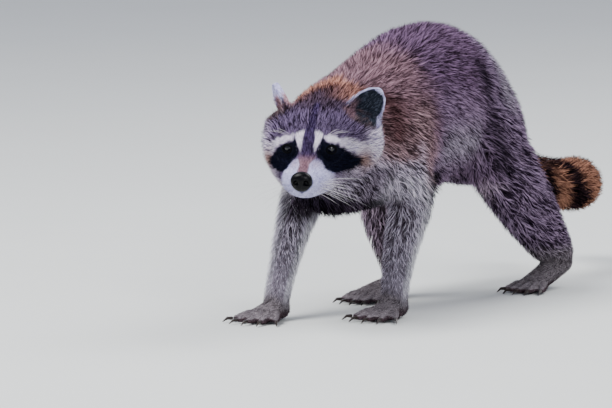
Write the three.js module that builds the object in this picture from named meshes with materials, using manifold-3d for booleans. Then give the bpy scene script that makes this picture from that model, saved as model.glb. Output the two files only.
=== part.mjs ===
// A common raccoon, life size, walking with its head low and turned to its left.
// Millimetres. +Z is up, the raccoon walks towards -Y, and its left side faces +X.
// Every solid reaches out to the tips of the coat, and the soles stand at z = 0.

import * as THREE from 'three';
import { LoftGeometry } from 'three/addons/geometries/LoftGeometry.js';
import { mergeVertices } from 'three/addons/utils/BufferGeometryUtils.js';
import Module from 'manifold-3d';

const wasm = await Module();
wasm.setup();

// ---- driving dimensions ----------------------------------------------------

const GAP = 0.3; // thin cut between two neighbouring solids
const FLOOR_CENTRE = [-3, 140, 0]; // middle of the raccoon's footprint, made the origin below

const HEAD_AT = [38, -178, 186]; // bridge of the nose, between the eyes
const HEAD_YAW = 25.5; // degrees to the raccoon's left
const HEAD_PITCH = 9; // degrees, nose down
const NECK_CUT_Y = -42; // plane between neck and trunk

const EYE_RADIUS = 8.2;
const EYE_SPAN = 21; // from the middle of the face to each eye
const EYE_AT = { forward: -16, up: -2.2 };
const SOCKET = { radius: 12, reach: 8.2, faces: [0.28, -0.95, -0.1] };
const MUZZLE_BACK = 9;
const MOUTH = { back: 9, corner: -36, front: -33.5 };
const NOSE_AT = { forward: 49, up: -20.3 };
const NOSE_HALF = { width: 11.3, height: 10.6, depth: 8 };

// Rings of the torso from the nape to the rump: y, z of the middle, half width, reach up, reach down.
const TORSO = [
  { y: -134, z: 186, w: 22, t: 22, b: 26 },
  { y: -114, z: 184, w: 46, t: 50, b: 54 },
  { y: -86, z: 180, w: 57, t: 65, b: 65 },
  { y: -50, z: 180, w: 66, t: 73, b: 71 },
  { y: -4, z: 184, w: 71, t: 81, b: 74 },
  { y: 46, z: 194, w: 74, t: 90, b: 82 },
  { y: 90, z: 203, w: 74, t: 95, b: 82 },
  { y: 128, z: 203, w: 70, t: 93, b: 80 },
  { y: 163, z: 193, w: 64, t: 85, b: 73 },
  { y: 196, z: 178, w: 57, t: 74, b: 67 },
  { y: 227, z: 162, w: 49, t: 62, b: 54 },
  { y: 253, z: 148, w: 38, t: 46, b: 40 },
  { y: 270, z: 140, w: 23, t: 28, b: 24 },
];

// Rings of the head in its own frame, from the nape to the lip: forward of the bridge,
// half width, top, bottom, and how far the ring narrows towards its top and towards its bottom.
const HEAD = [
  { f: -108, x: 9, w: 40, top: 22, bottom: -40, pear: -0.04 },
  { f: -98, x: 9, w: 53, top: 29, bottom: -50, pear: -0.06 },
  { f: -82, x: 8.5, w: 62, top: 33, bottom: -55, pear: -0.08 },
  { f: -64, x: 7, w: 65, top: 32, bottom: -56, pear: -0.08 },
  { f: -46, x: 4, w: 61, top: 27, bottom: -55, pear: -0.03 },
  { f: -29, x: 1.5, w: 53, top: 19, bottom: -53, pear: 0.06 },
  { f: -15, x: 0, w: 43, top: 9, bottom: -51, pear: 0.2 },
  { f: -4, x: 0, w: 33.5, top: 2, bottom: -49, pear: 0.36 },
  { f: 7, x: 0, w: 27.5, top: -2.5, bottom: -47, pear: 0.42, chin: -0.25 },
  { f: 20, x: 0, w: 26.5, top: -6.5, bottom: -45, pear: 0.34, chin: 0.06 },
  { f: 32, x: 0, w: 24.5, top: -9, bottom: -41.5, pear: 0.22, chin: 0.24 },
  { f: 42, x: 0, w: 18.5, top: -11, bottom: -37, pear: 0.1, chin: 0.28 },
  { f: 49, x: 0, w: 11, top: -14.5, bottom: -32, pear: 0, chin: 0.1 },
];

// Each ear from its root to its tip, in the head's frame.
const EARS = {
  left: { root: [41.5, 63, 14], tip: [66, 67, 44.5], faces: [0.35, -1, 0.1] },
  right: { root: [-33, 74, 16], tip: [-45, 80, 46], faces: [-1, -0.28, 0.1] },
};
const EAR = { halfWidth: 16.5, cup: 11, skin: 4.5 };

// Legs: joints of the coat's middle line, and the reach to the side, front and rear at each.
const LEGS = {
  foreleg_left: [
    { at: [34, -24, 190], w: 32, t: 46, b: 46 },
    { at: [44, -12, 156], w: 33, t: 44, b: 40 },
    { at: [50, 0, 124], w: 27, t: 34, b: 30 },
    { at: [48, -9, 92], w: 22, t: 26, b: 23 },
    { at: [46, -17, 62], w: 18.5, t: 21, b: 19 },
    { at: [45, -22, 36], w: 15.5, t: 17, b: 16 },
    { at: [45, -25, 16], w: 14, t: 15, b: 14 },
    { at: [45, -26, 9], w: 9, t: 10, b: 8 },
  ],
  foreleg_right: [
    { at: [-34, -34, 190], w: 32, t: 46, b: 46 },
    { at: [-46, -32, 156], w: 31, t: 40, b: 40 },
    { at: [-54, -45, 120], w: 25, t: 30, b: 28 },
    { at: [-53, -65, 90], w: 20, t: 23, b: 21 },
    { at: [-51, -82, 62], w: 17, t: 19, b: 17 },
    { at: [-49, -96, 38], w: 15, t: 16, b: 15 },
    { at: [-48, -105, 17], w: 13.5, t: 14, b: 14 },
    { at: [-48, -107, 9], w: 9, t: 10, b: 8 },
  ],
  hindleg_left: [
    { at: [32, 148, 214], w: 30, t: 58, b: 52 },
    { at: [45, 158, 176], w: 34, t: 56, b: 56 },
    { at: [54, 178, 140], w: 33, t: 52, b: 54 },
    { at: [58, 204, 108], w: 30, t: 41, b: 46 },
    { at: [58, 238, 80], w: 25, t: 35, b: 36 },
    { at: [56, 272, 57], w: 20, t: 30, b: 27 },
    { at: [54, 298, 40], w: 16, t: 24, b: 18 },
    { at: [54, 309, 31], w: 11, t: 12, b: 11 },
  ],
  hindleg_right: [
    { at: [-32, 158, 210], w: 30, t: 52, b: 50 },
    { at: [-46, 146, 172], w: 33, t: 48, b: 52 },
    { at: [-55, 126, 136], w: 30, t: 38, b: 44 },
    { at: [-57, 112, 104], w: 25, t: 29, b: 33 },
    { at: [-55, 114, 74], w: 20, t: 23, b: 25 },
    { at: [-52, 123, 47], w: 16.5, t: 18, b: 18 },
    { at: [-50, 132, 24], w: 14.5, t: 15, b: 15 },
    { at: [-50, 136, 13], w: 10, t: 10, b: 10 },
  ],
};

// Paws: the heel or wrist, the root of the toes and which way the toes point, seen from above.
const PAWS = {
  forepaw_left: { heel: [45, -15, 13], toes: [44, -46, 8.5], r: [13.5, 16], fan: 1 },
  forepaw_right: { heel: [-48, -96, 13], toes: [-49, -127, 8.5], r: [13.5, 16], fan: 1 },
  hindpaw_left: { heel: [54, 306, 29], toes: [52, 243, 8.5], r: [13.5, 17], fan: 0.6 },
  hindpaw_right: { heel: [-50, 138, 14], toes: [-48, 72, 8.5], r: [14, 17], fan: 0.6 },
};
const TOES = [ // angle from the paw's line in degrees, length, and place across the paw
  { turn: 36, length: 20, across: 0.78 },
  { turn: 15, length: 27, across: 0.42 },
  { turn: 1, length: 29, across: 0.02 },
  { turn: -13, length: 27, across: -0.4 },
  { turn: -32, length: 21, across: -0.76 },
];
const TOE_RADIUS = 5.4;
const CLAW = { length: 11, radius: 2.1 };

// The tail's middle line with the coat's radius, and where it is parted.
const TAIL = [
  { at: [0, 244, 150], r: 20 },
  { at: [2, 280, 130], r: 25 },
  { at: [5, 318, 115], r: 29 },
  { at: [7, 358, 105], r: 31 },
  { at: [7, 397, 100], r: 31.5 },
  { at: [-3, 434, 98], r: 31 },
  { at: [-28, 465, 96], r: 29 },
  { at: [-58, 485, 93], r: 25 },
  { at: [-80, 495, 91], r: 17 },
  { at: [-94, 498, 90], r: 7 },
];
const TAIL_CUTS = [0.36, 0.68]; // shares of the tail's length

const COLOURS = {
  fur: 0x5a4a55, head: 0x71647a, ear: 0xc9bcc6, nose: 0x14121c, eye: 0x0b0a10,
  paw: 0x8f8790, tail: 0x7a5648, claw: 0x3a332f,
};

// ---- geometry helpers ------------------------------------------------------

const UP = new THREE.Vector3(0, 0, 1);
const FORWARD = new THREE.Vector3(0, -1, 0);

// A smooth curve through station values, read at u from 0 to 1.
function through(values) {
  return new THREE.CatmullRomCurve3(values.map((v) => new THREE.Vector3(...v)), false, 'catmullrom', 0.5);
}

// An oval ring round a point: w to each side, t along `top` and b against it, narrowed by `pear` towards
// its top and by `chin` towards its bottom.
function oval(centre, tangent, top, { w, t, b, pear = 0, chin = 0 }, sides) {
  const up = top.clone().addScaledVector(tangent, -top.dot(tangent)).normalize();
  const side = new THREE.Vector3().crossVectors(up, tangent);
  return Array.from({ length: sides }, (_, i) => {
    const angle = ((i + 0.5) / sides) * 2 * Math.PI;
    const high = Math.sin(angle);
    return centre.clone()
      .addScaledVector(side, w * (high > 0 ? 1 - pear * high : 1 + chin * high) * Math.cos(angle))
      .addScaledVector(up, (high > 0 ? t : b) * high);
  });
}

// A closed loft through stations { at, w, t, b, pear }, grown all round by `grow`.
function loft(stations, { top = UP, sides = 12, steps = 2, grow = 0 }) {
  const line = through(stations.map((s) => s.at));
  const reach = through(stations.map((s) => [s.w, s.t, s.b]));
  const narrowing = through(stations.map((s) => [s.pear ?? 0, s.chin ?? -(s.pear ?? 0), 0]));
  const rings = (stations.length - 1) * steps;
  const sections = [];
  for (let i = 0; i <= rings; i++) {
    const u = i / rings;
    const tangent = line.getTangent(u);
    const centre = line.getPoint(u);
    if (i === 0) centre.addScaledVector(tangent, -grow);
    if (i === rings) centre.addScaledVector(tangent, grow);
    const { x: w, y: t, z: b } = reach.getPoint(u);
    const { x: pear, y: chin } = narrowing.getPoint(u);
    const size = { w: w + grow, t: t + grow, b: b + grow, pear, chin };
    sections.push(oval(centre, tangent, top, size, sides));
  }
  return new LoftGeometry(sections, { capStart: true, capEnd: true });
}

// A three.js geometry as a manifold-3d solid.
function solid(geometry) {
  const bare = geometry.index ? geometry.toNonIndexed() : geometry.clone();
  bare.deleteAttribute('normal');
  bare.deleteAttribute('uv');
  const merged = mergeVertices(bare, 1e-4);
  return new wasm.Manifold(new wasm.Mesh({
    numProp: 3,
    vertProperties: merged.attributes.position.array,
    triVerts: new Uint32Array(merged.index.array),
  }));
}

function join(solids) {
  return solids.reduce((a, b) => a.add(b));
}

// The larger piece, where a cut leaves crumbs.
function main(made) {
  return made.decompose().reduce((a, b) => (a.volume() > b.volume() ? a : b));
}

function mesh(name, made, material) {
  const { numProp, numVert, vertProperties, triVerts } = main(made).getMesh();
  const position = new Float32Array(numVert * 3);
  for (let i = 0; i < numVert; i++) {
    position.set(vertProperties.subarray(i * numProp, i * numProp + 3), i * 3);
  }
  const geometry = new THREE.BufferGeometry()
    .setAttribute('position', new THREE.BufferAttribute(position, 3))
    .setIndex(new THREE.BufferAttribute(triVerts, 1));
  geometry.computeVertexNormals();
  const result = new THREE.Mesh(geometry, material);
  result.name = name;
  return result;
}

const finish = Object.fromEntries(Object.entries(COLOURS).map(([name, color]) => [
  name,
  new THREE.MeshStandardMaterial({ color, metalness: 0, roughness: ['eye', 'nose'].includes(name) ? 0.2 : 0.85 }),
]));

// ---- torso, neck and legs --------------------------------------------------

function torso(grow) {
  const stations = TORSO.map(({ y, z, ...reach }) => ({ at: [0, y, z], ...reach }));
  return solid(loft(stations, { sides: 20, steps: 2, grow }));
}

function leg(name, grow) {
  return solid(loft(LEGS[name], { top: FORWARD, sides: 10, steps: 2, grow }));
}

// ---- head, in its own frame ------------------------------------------------

function skull(grow) {
  const stations = HEAD.map(({ f, x, w, top, bottom, pear, chin }) => {
    const middle = bottom + 0.52 * (top - bottom);
    return { at: [x, -f, middle], w, t: top - middle, b: middle - bottom, pear, chin };
  });
  return solid(loft(stations, { sides: 20, steps: 2, grow }));
}

function eyeball(side, grow) {
  const ball = new THREE.SphereGeometry(EYE_RADIUS + grow, 12, 8);
  ball.translate(side * EYE_SPAN, -EYE_AT.forward, EYE_AT.up);
  return solid(ball);
}

// The hollow in front of an eye that the lids close round.
function socket(side) {
  const [x, y, z] = SOCKET.faces;
  const hollow = new THREE.SphereGeometry(SOCKET.radius, 12, 8);
  hollow.translate(
    side * (EYE_SPAN + x * SOCKET.reach),
    -EYE_AT.forward + y * SOCKET.reach,
    EYE_AT.up + z * SOCKET.reach,
  );
  return solid(hollow);
}

function nosePad(grow) {
  const pad = new THREE.SphereGeometry(1, 12, 8);
  pad.scale(NOSE_HALF.width + grow, NOSE_HALF.depth + grow, NOSE_HALF.height + grow);
  pad.translate(0, -NOSE_AT.forward, NOSE_AT.up);
  return solid(pad);
}

// The skull parted into head, muzzle and lower jaw by two planes, each leaving a thin cut.
function parted(whole) {
  const back = { normal: FORWARD, offset: MUZZLE_BACK };
  const run = NOSE_AT.forward - MOUTH.back;
  const rise = MOUTH.front - MOUTH.corner;
  const normal = new THREE.Vector3(0, rise, run).normalize();
  const lip = { normal, offset: normal.dot(new THREE.Vector3(0, -MOUTH.back, MOUTH.corner)) };
  const snout = between(whole, back, null);
  return { head: between(whole, null, back), muzzle: between(snout, lip, null), jaw: between(snout, null, lip) };
}

// A cupped leaf: rings of a crescent from the root to the tip, hollow towards `faces`.
function ear({ root, tip, faces }) {
  const line = new THREE.LineCurve3(new THREE.Vector3(...root), new THREE.Vector3(...tip));
  const along = line.getTangent(0);
  const front = new THREE.Vector3(...faces).addScaledVector(along, -along.dot(new THREE.Vector3(...faces)));
  front.normalize();
  const side = new THREE.Vector3().crossVectors(front, along);
  const rings = 8;
  const half = 7; // points on each face of the crescent
  const sections = [];
  for (let i = 0; i <= rings; i++) {
    const share = i / rings;
    const width = EAR.halfWidth * Math.sqrt(1 - share ** 2.1) * (0.94 + 0.16 * Math.sin(share * Math.PI)) + 2.4;
    const cup = EAR.cup * (1 - 0.75 * share);
    const centre = line.getPoint(share * 1.04);
    const point = (angle, depth, w) => centre.clone()
      .addScaledVector(side, w * Math.cos(angle))
      .addScaledVector(front, -depth * Math.sin(angle) + 0.35 * cup);
    const back = Array.from({ length: half + 1 }, (_, j) => point((j / half) * Math.PI, cup + EAR.skin, width));
    const inner = Array.from({ length: half - 1 }, (_, j) =>
      point(((half - 1 - j) / half) * Math.PI, cup, width - 2.2));
    sections.push([...back, ...inner].reverse());
  }
  return solid(new LoftGeometry(sections, { capStart: true, capEnd: true }));
}

// ---- paws and claws --------------------------------------------------------

function pawFrame({ heel, toes }) {
  const from = new THREE.Vector3(...heel);
  const to = new THREE.Vector3(...toes);
  const line = to.clone().sub(from).setZ(0).normalize();
  return { from, to, line, across: new THREE.Vector3(-line.y, line.x, 0) };
}

// Each toe's middle line: its root, knuckle, tip and which way it points.
function toeLines(paw) {
  const { to, line, across } = pawFrame(paw);
  return TOES.map(({ turn, length, across: share }) => {
    const way = line.clone().applyAxisAngle(UP, THREE.MathUtils.degToRad(turn * paw.fan));
    const root = to.clone().addScaledVector(across, share * paw.r[1]).addScaledVector(line, -5);
    const point = (reach, z) => root.clone().addScaledVector(way, reach).setZ(z);
    return { way, points: [root, point(length * 0.45, 7.6), point(length * 0.8, 5.2), point(length + 5, 4.2)] };
  });
}

function paw(settings, grow) {
  const { from, to } = pawFrame(settings);
  const [behind, wide] = settings.r;
  const middle = from.clone().lerp(to, 0.5);
  const back = from.clone().addScaledVector(from.clone().sub(to).normalize(), 7);
  const palm = loft([
    { at: back.toArray(), w: behind * 0.55, t: 6, b: 7 },
    { at: from.toArray(), w: behind, t: 12, b: 13.5 },
    { at: middle.toArray(), w: (behind + wide) / 2, t: 11, b: 12.5 },
    { at: to.toArray(), w: wide, t: 8.5, b: 10.5 },
    { at: to.clone().addScaledVector(to.clone().sub(middle), 0.2).toArray(), w: wide * 0.8, t: 5, b: 8.6 },
  ], { sides: 12, steps: 1, grow });
  const toes = toeLines(settings).map(({ points }) => {
    const radii = [TOE_RADIUS, TOE_RADIUS * 1.05, TOE_RADIUS, TOE_RADIUS * 0.55];
    const stations = points.map((p, i) => ({ at: p.toArray(), w: radii[i], t: radii[i], b: radii[i] }));
    return solid(loft(stations, { sides: 6, steps: 1, grow }));
  });
  return join([solid(palm), ...toes]).trimByPlane([0, 0, 1], -grow);
}

function claw({ way, points }) {
  const start = points[3].clone().addScaledVector(way, 1.5 * GAP);
  const bend = start.clone().addScaledVector(way, CLAW.length * 0.5).setZ(4.6);
  const end = start.clone().addScaledVector(way, CLAW.length).setZ(1.2);
  return solid(loft([
    { at: start.toArray(), w: CLAW.radius * 0.8, t: CLAW.radius, b: CLAW.radius },
    { at: bend.toArray(), w: CLAW.radius * 0.65, t: CLAW.radius * 0.75, b: CLAW.radius * 0.85 },
    { at: end.toArray(), w: 0.45, t: 0.45, b: 0.5 },
  ], { sides: 5, steps: 1 }));
}

// ---- tail ------------------------------------------------------------------

function tail() {
  return solid(loft(TAIL.map(({ at, r }) => ({ at, w: r, t: r, b: r })), { sides: 12, steps: 2 }));
}

// The plane across the tail at a share of its length: its direction and its distance from the origin.
function tailPlane(share) {
  const line = through(TAIL.map((s) => s.at));
  const normal = line.getTangent(share);
  return { normal, offset: normal.dot(line.getPoint(share)) };
}

function between(made, low, high) {
  let piece = made;
  if (low) piece = piece.trimByPlane(low.normal.toArray(), low.offset + GAP / 2);
  if (high) piece = piece.trimByPlane(high.normal.clone().negate().toArray(), -high.offset + GAP / 2);
  return piece;
}

// ---- the raccoon -----------------------------------------------------------

const raccoon = new THREE.Group();
raccoon.position.set(...FLOOR_CENTRE).negate();

const head = new THREE.Group();
head.position.set(...HEAD_AT);
head.rotation.set(THREE.MathUtils.degToRad(HEAD_PITCH), 0, THREE.MathUtils.degToRad(HEAD_YAW), 'ZYX');
head.updateMatrix();
raccoon.add(head);

const noseRoom = nosePad(GAP);
const faceRooms = [noseRoom, ...[1, -1].flatMap((side) => [eyeball(side, GAP), socket(side)])];
for (const [name, made] of Object.entries(parted(skull(0).subtract(join(faceRooms))))) {
  head.add(mesh(name, made, finish.head));
}
head.add(mesh('nose', nosePad(0), finish.nose));
head.add(mesh('eye_left', eyeball(1, 0), finish.eye));
head.add(mesh('eye_right', eyeball(-1, 0), finish.eye));
const skullRoom = skull(GAP);
for (const [side, settings] of Object.entries(EARS)) {
  head.add(mesh('ear_' + side, ear(settings).subtract(skullRoom), finish.ear));
}

const placedSkull = skullRoom.transform(head.matrix.toArray());
const neckPlane = { normal: FORWARD.clone().negate(), offset: NECK_CUT_Y };
const whole = torso(0).subtract(placedSkull);
raccoon.add(mesh('neck', between(whole, null, neckPlane), finish.fur));
raccoon.add(mesh('trunk', between(whole, neckPlane, null), finish.fur));

const torsoRoom = torso(GAP);
const headRooms = join([placedSkull, torsoRoom]);
const paws = Object.entries(PAWS);
Object.keys(LEGS).forEach((name, i) => {
  const [pawName, settings] = paws[i];
  const room = paw(settings, GAP);
  raccoon.add(mesh(name, leg(name, 0).subtract(headRooms).subtract(room), finish.fur));
  raccoon.add(mesh(pawName, paw(settings, 0), finish.paw));
  toeLines(settings).forEach((toe, j) => {
    raccoon.add(mesh(`${pawName}_claw_${j + 1}`, claw(toe), finish.claw));
  });
});

const tailSolid = tail().subtract(torsoRoom);
const [firstCut, secondCut] = TAIL_CUTS.map(tailPlane);
raccoon.add(mesh('tail_root', between(tailSolid, null, firstCut), finish.tail));
raccoon.add(mesh('tail_middle', between(tailSolid, firstCut, secondCut), finish.tail));
raccoon.add(mesh('tail_tip', between(tailSolid, secondCut, null), finish.tail));

export default raccoon;
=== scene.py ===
import math

import bpy
import numpy as np
from mathutils import Matrix, Vector


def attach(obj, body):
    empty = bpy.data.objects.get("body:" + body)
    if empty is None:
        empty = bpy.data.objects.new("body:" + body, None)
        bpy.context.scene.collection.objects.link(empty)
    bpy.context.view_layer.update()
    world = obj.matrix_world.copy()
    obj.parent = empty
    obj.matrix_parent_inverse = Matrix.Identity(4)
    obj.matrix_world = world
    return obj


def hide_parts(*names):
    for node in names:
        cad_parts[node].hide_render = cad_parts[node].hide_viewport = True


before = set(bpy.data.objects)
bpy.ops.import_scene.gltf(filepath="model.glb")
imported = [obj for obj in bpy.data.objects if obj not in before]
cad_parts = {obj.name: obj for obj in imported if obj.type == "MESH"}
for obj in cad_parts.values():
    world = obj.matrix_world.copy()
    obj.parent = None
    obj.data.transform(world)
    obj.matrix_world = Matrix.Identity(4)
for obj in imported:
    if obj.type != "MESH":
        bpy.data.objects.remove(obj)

bl_info = {
    "name": "Standing raccoon",
    "version": (1, 0, 0),
    "blender": (4, 5, 0),
    "location": "View3D > Sidebar > Raccoon",
    "description": "Skin, coat, face, claws and stage of a life-size standing raccoon",
    "category": "Object",
}

# Lengths in this file are millimetres and become metres where a mesh is made.
# Body coordinates: the animal faces -Y, its left is +X, and Z is height above the floor.
# Head coordinates (l, f, u): its left, its front and its crown, from the point between the eyes.
# Part frame: the body coordinates moved by BODY_TO_PART, as the solids stand.

TO_METRES = 0.001
TO_MM = 1000.0
DOWN = np.array([0, 0, -1.0])
BACK = np.array([0, 1.0, 0])

# ---- the animal's measures --------------------------------------------------

BODY_TO_PART = np.array([3.0, -140.0, 0.0])
HEAD_AT = np.array([41.0, -318.0, 186.0])  # the point between the eyes, in the part frame
HEAD_YAW = math.radians(25.5)
HEAD_PITCH = math.radians(9)
FACE_TILT = math.radians(15)  # how far the plane of the face's markings leans back
MUZZLE_TIP = (0, 46, -18)  # the hairs of the head lie away from here, head coordinates
FLOOR_GAP = 0.3  # no hair of the paws goes lower than this

EYES_AT = {1: (21.0, -17.0, -2.4), -1: (-20.6, -18.6, -2.4)}  # head coordinates, left and right
EYE_FACES = (0.28, 0.95, -0.1)  # left, front, up, for the left eye
EYE_SLOPE = math.radians(-9)
EYE_RADIUS = 7.4
EYE_PLAY = 0.7  # the ball is smaller than that radius by this much, to stay clear of the lids
CORNEA_RISE = 0.45  # the cornea stands this far off the ball
PUPIL_EDGE = (20, 24)  # degrees off the gaze over which the pupil gives way to the iris
IRIS_EDGE = (34, 40)  # and the iris to the rest of the ball
LID_ANGLES = (34.0, 25.0, 23.0)  # half opening along the lids, above and below, in degrees round the ball
LID_OUTER = 54  # degrees off the gaze where the lids end under the skin
SOCKET = 13.5  # the skin nearer than this to an eye's centre is a film across its socket
ORBIT_HEIGHT = 5.7  # the skin round an eye stands at least this far before the eye's centre
ORBIT_FALL = 0.045  # and lower with the square of the distance aside

NOSE_AT = (0, 48.5, -20.3)  # middle of the nose leather, head coordinates
NOSE_INSIDE = (0, 46, -20.3)  # a point in it that every part of its surface faces away from
NOSE_BARE = (0, 49, -20.3)  # no hair grows within 9 mm of this point
NOSE_WIDE = 11.0  # half sizes of the leather
NOSE_ABOVE = 9.8
NOSE_BELOW = 10.4
NOSE_DEEP = 7.6

EARS = ("ear_left", "ear_right")
EAR_FACES = {"ear_left": (0.35, 1, 0.1), "ear_right": (-1, 0.28, 0.1)}  # where each hollow looks: l, f, u
EAR_WIDE = 16.5  # half width of an ear's outline
FORELEGS = ("foreleg_left", "foreleg_right")
HINDLEGS = ("hindleg_left", "hindleg_right")
LIMBS = (*FORELEGS, *HINDLEGS)
PAWS = ("forepaw_left", "forepaw_right", "hindpaw_left", "hindpaw_right")
FLESH = ("head", "muzzle", "jaw", *EARS, "neck", "trunk", *LIMBS, *PAWS,
         "tail_root", "tail_middle", "tail_tip")
CLAWS = [f"{paw}_claw_{i}" for paw in PAWS for i in range(1, 6)]

FLESH_GROWTH = 0.5  # each flesh solid is grown by this much, so that neighbours merge
SKIN_TRIANGLES = 150000
FINE_SKIN = 0.12  # how strongly the face, the ears and the paws are thinned beside the rest
ROOT_DEPTH = 0.4  # tufts start this far under the skin
PATCH = 0.003  # side of a tuft's bake patch in its piece's unit square
ISLAND_BEND = math.radians(80)  # the bake layout is cut where the skin bends more than this
ISLAND_GAP = 0.004
CELL_PRIMES = (73856093, 19349663, 83492791)  # they mix a cell's three numbers into one

# Middle lines of the body. Each row: x, y, z, radius, depth of the coat, length of its hairs.
# The head and the ears are in head coordinates, the rest in body coordinates.
LINES = {
    "head": [(0, 50, -22, 10, 1.2, 2.0), (0, 32, -25, 20, 1.6, 2.6), (0, 20, -26, 24, 1.8, 3.2),
             (0, 7, -25, 28, 2.0, 4.2), (0, -4, -24, 32, 2.4, 5.5), (0, -15, -20, 40, 3.4, 8),
             (0, -29, -16, 48, 5.5, 13), (0, -46, -14, 54, 9, 19), (0, -64, -12, 56, 11, 24),
             (0, -82, -11, 52, 12, 28), (0, -98, -10, 45, 13, 30)],
    "ear_left": [(41.5, -63, 14, 24, 0.7, 6), (66, -67, 44.5, 22, 0.5, 4)],
    "ear_right": [(-33, -74, 16, 24, 0.7, 6), (-45, -80, 46, 22, 0.5, 4)],
    "neck": [(6, -130, 186, 50, 11, 18), (0, -96, 180, 60, 12, 20)],
    "trunk": [(0, -86, 178, 62, 12, 20), (0, -50, 180, 68, 12, 20), (0, -4, 184, 76, 12, 19),
              (0, 46, 198, 80, 12, 19), (0, 90, 207, 82, 12, 19), (0, 128, 208, 80, 12, 20),
              (0, 163, 197, 72, 12, 21), (0, 196, 181, 62, 12, 22), (0, 227, 165, 50, 11, 22),
              (0, 256, 149, 38, 10, 24)],
    "foreleg_left": [(34, -24, 190, 33, 12, 22), (44, -12, 156, 33, 12, 23), (50, 0, 124, 27, 9, 22),
                     (48, -9, 92, 21, 6.5, 17), (46, -17, 62, 17, 4.5, 11), (45, -22, 36, 15, 2.6, 7),
                     (45, -25, 16, 14, 1.6, 4.5)],
    "foreleg_right": [(-34, -34, 190, 33, 12, 22), (-46, -32, 156, 33, 12, 23),
                      (-54, -45, 120, 27, 9, 22), (-53, -65, 90, 21, 6.5, 17),
                      (-51, -82, 62, 17, 4.5, 11), (-49, -96, 38, 15, 2.6, 7),
                      (-48, -105, 17, 14, 1.6, 4.5)],
    "hindleg_left": [(32, 148, 214, 36, 12, 21), (45, 158, 176, 40, 12, 22), (54, 178, 140, 38, 12, 23),
                     (58, 204, 108, 32, 10, 26), (58, 238, 80, 22, 7, 18), (56, 272, 57, 16, 4.5, 11),
                     (54, 298, 40, 14, 2.4, 6)],
    "hindleg_right": [(-32, 158, 210, 36, 12, 21), (-46, 146, 172, 40, 12, 22),
                      (-55, 126, 136, 36, 11, 25), (-57, 112, 104, 28, 9, 24),
                      (-55, 114, 74, 20, 6, 16), (-52, 123, 47, 15, 3.6, 9),
                      (-50, 132, 24, 14, 2.0, 5.5)],
    "forepaw_left": [(45, -15, 13, 15, 1.8, 8), (44, -46, 9, 17, 1.4, 6.5), (43, -76, 5, 14, 0.8, 4)],
    "forepaw_right": [(-48, -96, 13, 15, 1.8, 8), (-49, -127, 9, 17, 1.4, 6.5),
                      (-50, -157, 5, 14, 0.8, 4)],
    "hindpaw_left": [(54, 306, 29, 15, 1.8, 9), (52, 243, 9, 17, 1.4, 6.5), (51, 213, 5, 14, 0.8, 4)],
    "hindpaw_right": [(-50, 138, 14, 15, 1.8, 9), (-48, 72, 9, 17, 1.4, 6.5), (-47, 42, 5, 14, 0.8, 4)],
    "tail": [(0, 244, 150, 20, 9, 26), (2, 280, 130, 25, 12, 28), (5, 318, 115, 29, 15, 30),
             (7, 358, 105, 31, 16, 31), (7, 397, 100, 31.5, 16.5, 32), (-3, 434, 98, 31, 16, 32),
             (-28, 465, 96, 29, 15, 31), (-58, 485, 93, 25, 13, 29), (-80, 495, 91, 17, 9, 24),
             (-94, 498, 90, 8, 4, 16)],
}

# Coat pieces: how many tufts, how wide a tuft of long hair is, how many rings of corners it has before
# its point, and the seed of its random draws.
COATS = {
    "coat_face": dict(count=40500, width=0.6, rings=1, seed=11),
    "coat_head": dict(count=17800, width=0.7, rings=2, seed=12),
    "coat_neck": dict(count=17800, width=0.76, rings=2, seed=13),
    "coat_shoulders": dict(count=17800, width=0.76, rings=2, seed=14),
    "coat_flanks": dict(count=18000, width=0.76, rings=2, seed=15),
    "coat_rump": dict(count=18000, width=0.76, rings=2, seed=16),
    "coat_forelegs": dict(count=12000, width=0.74, rings=2, seed=17),
    "coat_hindlegs": dict(count=14400, width=0.8, rings=2, seed=18),
    "coat_tail": dict(count=12000, width=1.1, rings=2, seed=19),
    "coat_paws": dict(count=16000, width=0.9, rings=1, seed=20),
}


# ---- small tools ------------------------------------------------------------

def unit(v):
    """Each row divided by its own length."""
    return v / np.maximum(np.linalg.norm(v, axis=-1, keepdims=True), 1e-9)


def ease(x, low, high):
    """0 below low, 1 above high, and a smooth S between: t * t * (3 - 2 t)."""
    t = np.clip((x - low) / (high - low), 0, 1)
    return t * t * (3 - 2 * t)


def near(x, middle, width):
    """A bell of height 1: exp of minus the squared distance from the middle in widths."""
    return np.exp(-(((x - middle) / width) ** 2))


def ripple(points, size, seed, waves=9):
    """Smooth random field with features about `size` across: a sum of sine waves in seeded directions."""
    rng = np.random.default_rng(seed)
    ways = unit(rng.normal(size=(waves, 3))) * (2 * math.pi / size) * rng.uniform(0.6, 1.6, (waves, 1))
    phase = rng.uniform(0, 2 * math.pi, waves)
    return np.sin(points @ ways.T + phase).sum(1) / math.sqrt(waves / 2)


def turn_matrix():
    """Columns are the head's left, back and crown: a turn by the yaw after a tilt by the pitch."""
    cz, sz = math.cos(HEAD_YAW), math.sin(HEAD_YAW)
    cx, sx = math.cos(HEAD_PITCH), math.sin(HEAD_PITCH)
    yaw = np.array([[cz, -sz, 0], [sz, cz, 0], [0, 0, 1]])
    pitch = np.array([[1, 0, 0], [0, cx, -sx], [0, sx, cx]])
    return yaw @ pitch


HEAD_TURN = turn_matrix()


def to_head(points):
    """Part frame to head coordinates l, f, u."""
    local = (points - HEAD_AT) @ HEAD_TURN
    return local[:, 0], -local[:, 1], local[:, 2]


def from_head(lfu):
    """Head coordinates l, f, u to the part frame."""
    lfu = np.atleast_2d(np.asarray(lfu, float))
    return HEAD_AT + (lfu * [1, -1, 1]) @ HEAD_TURN.T


def head_way(lfu):
    """A direction given as left, front, up, turned into the part frame."""
    return unit((np.atleast_2d(np.asarray(lfu, float)) * [1, -1, 1]) @ HEAD_TURN.T)


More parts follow.
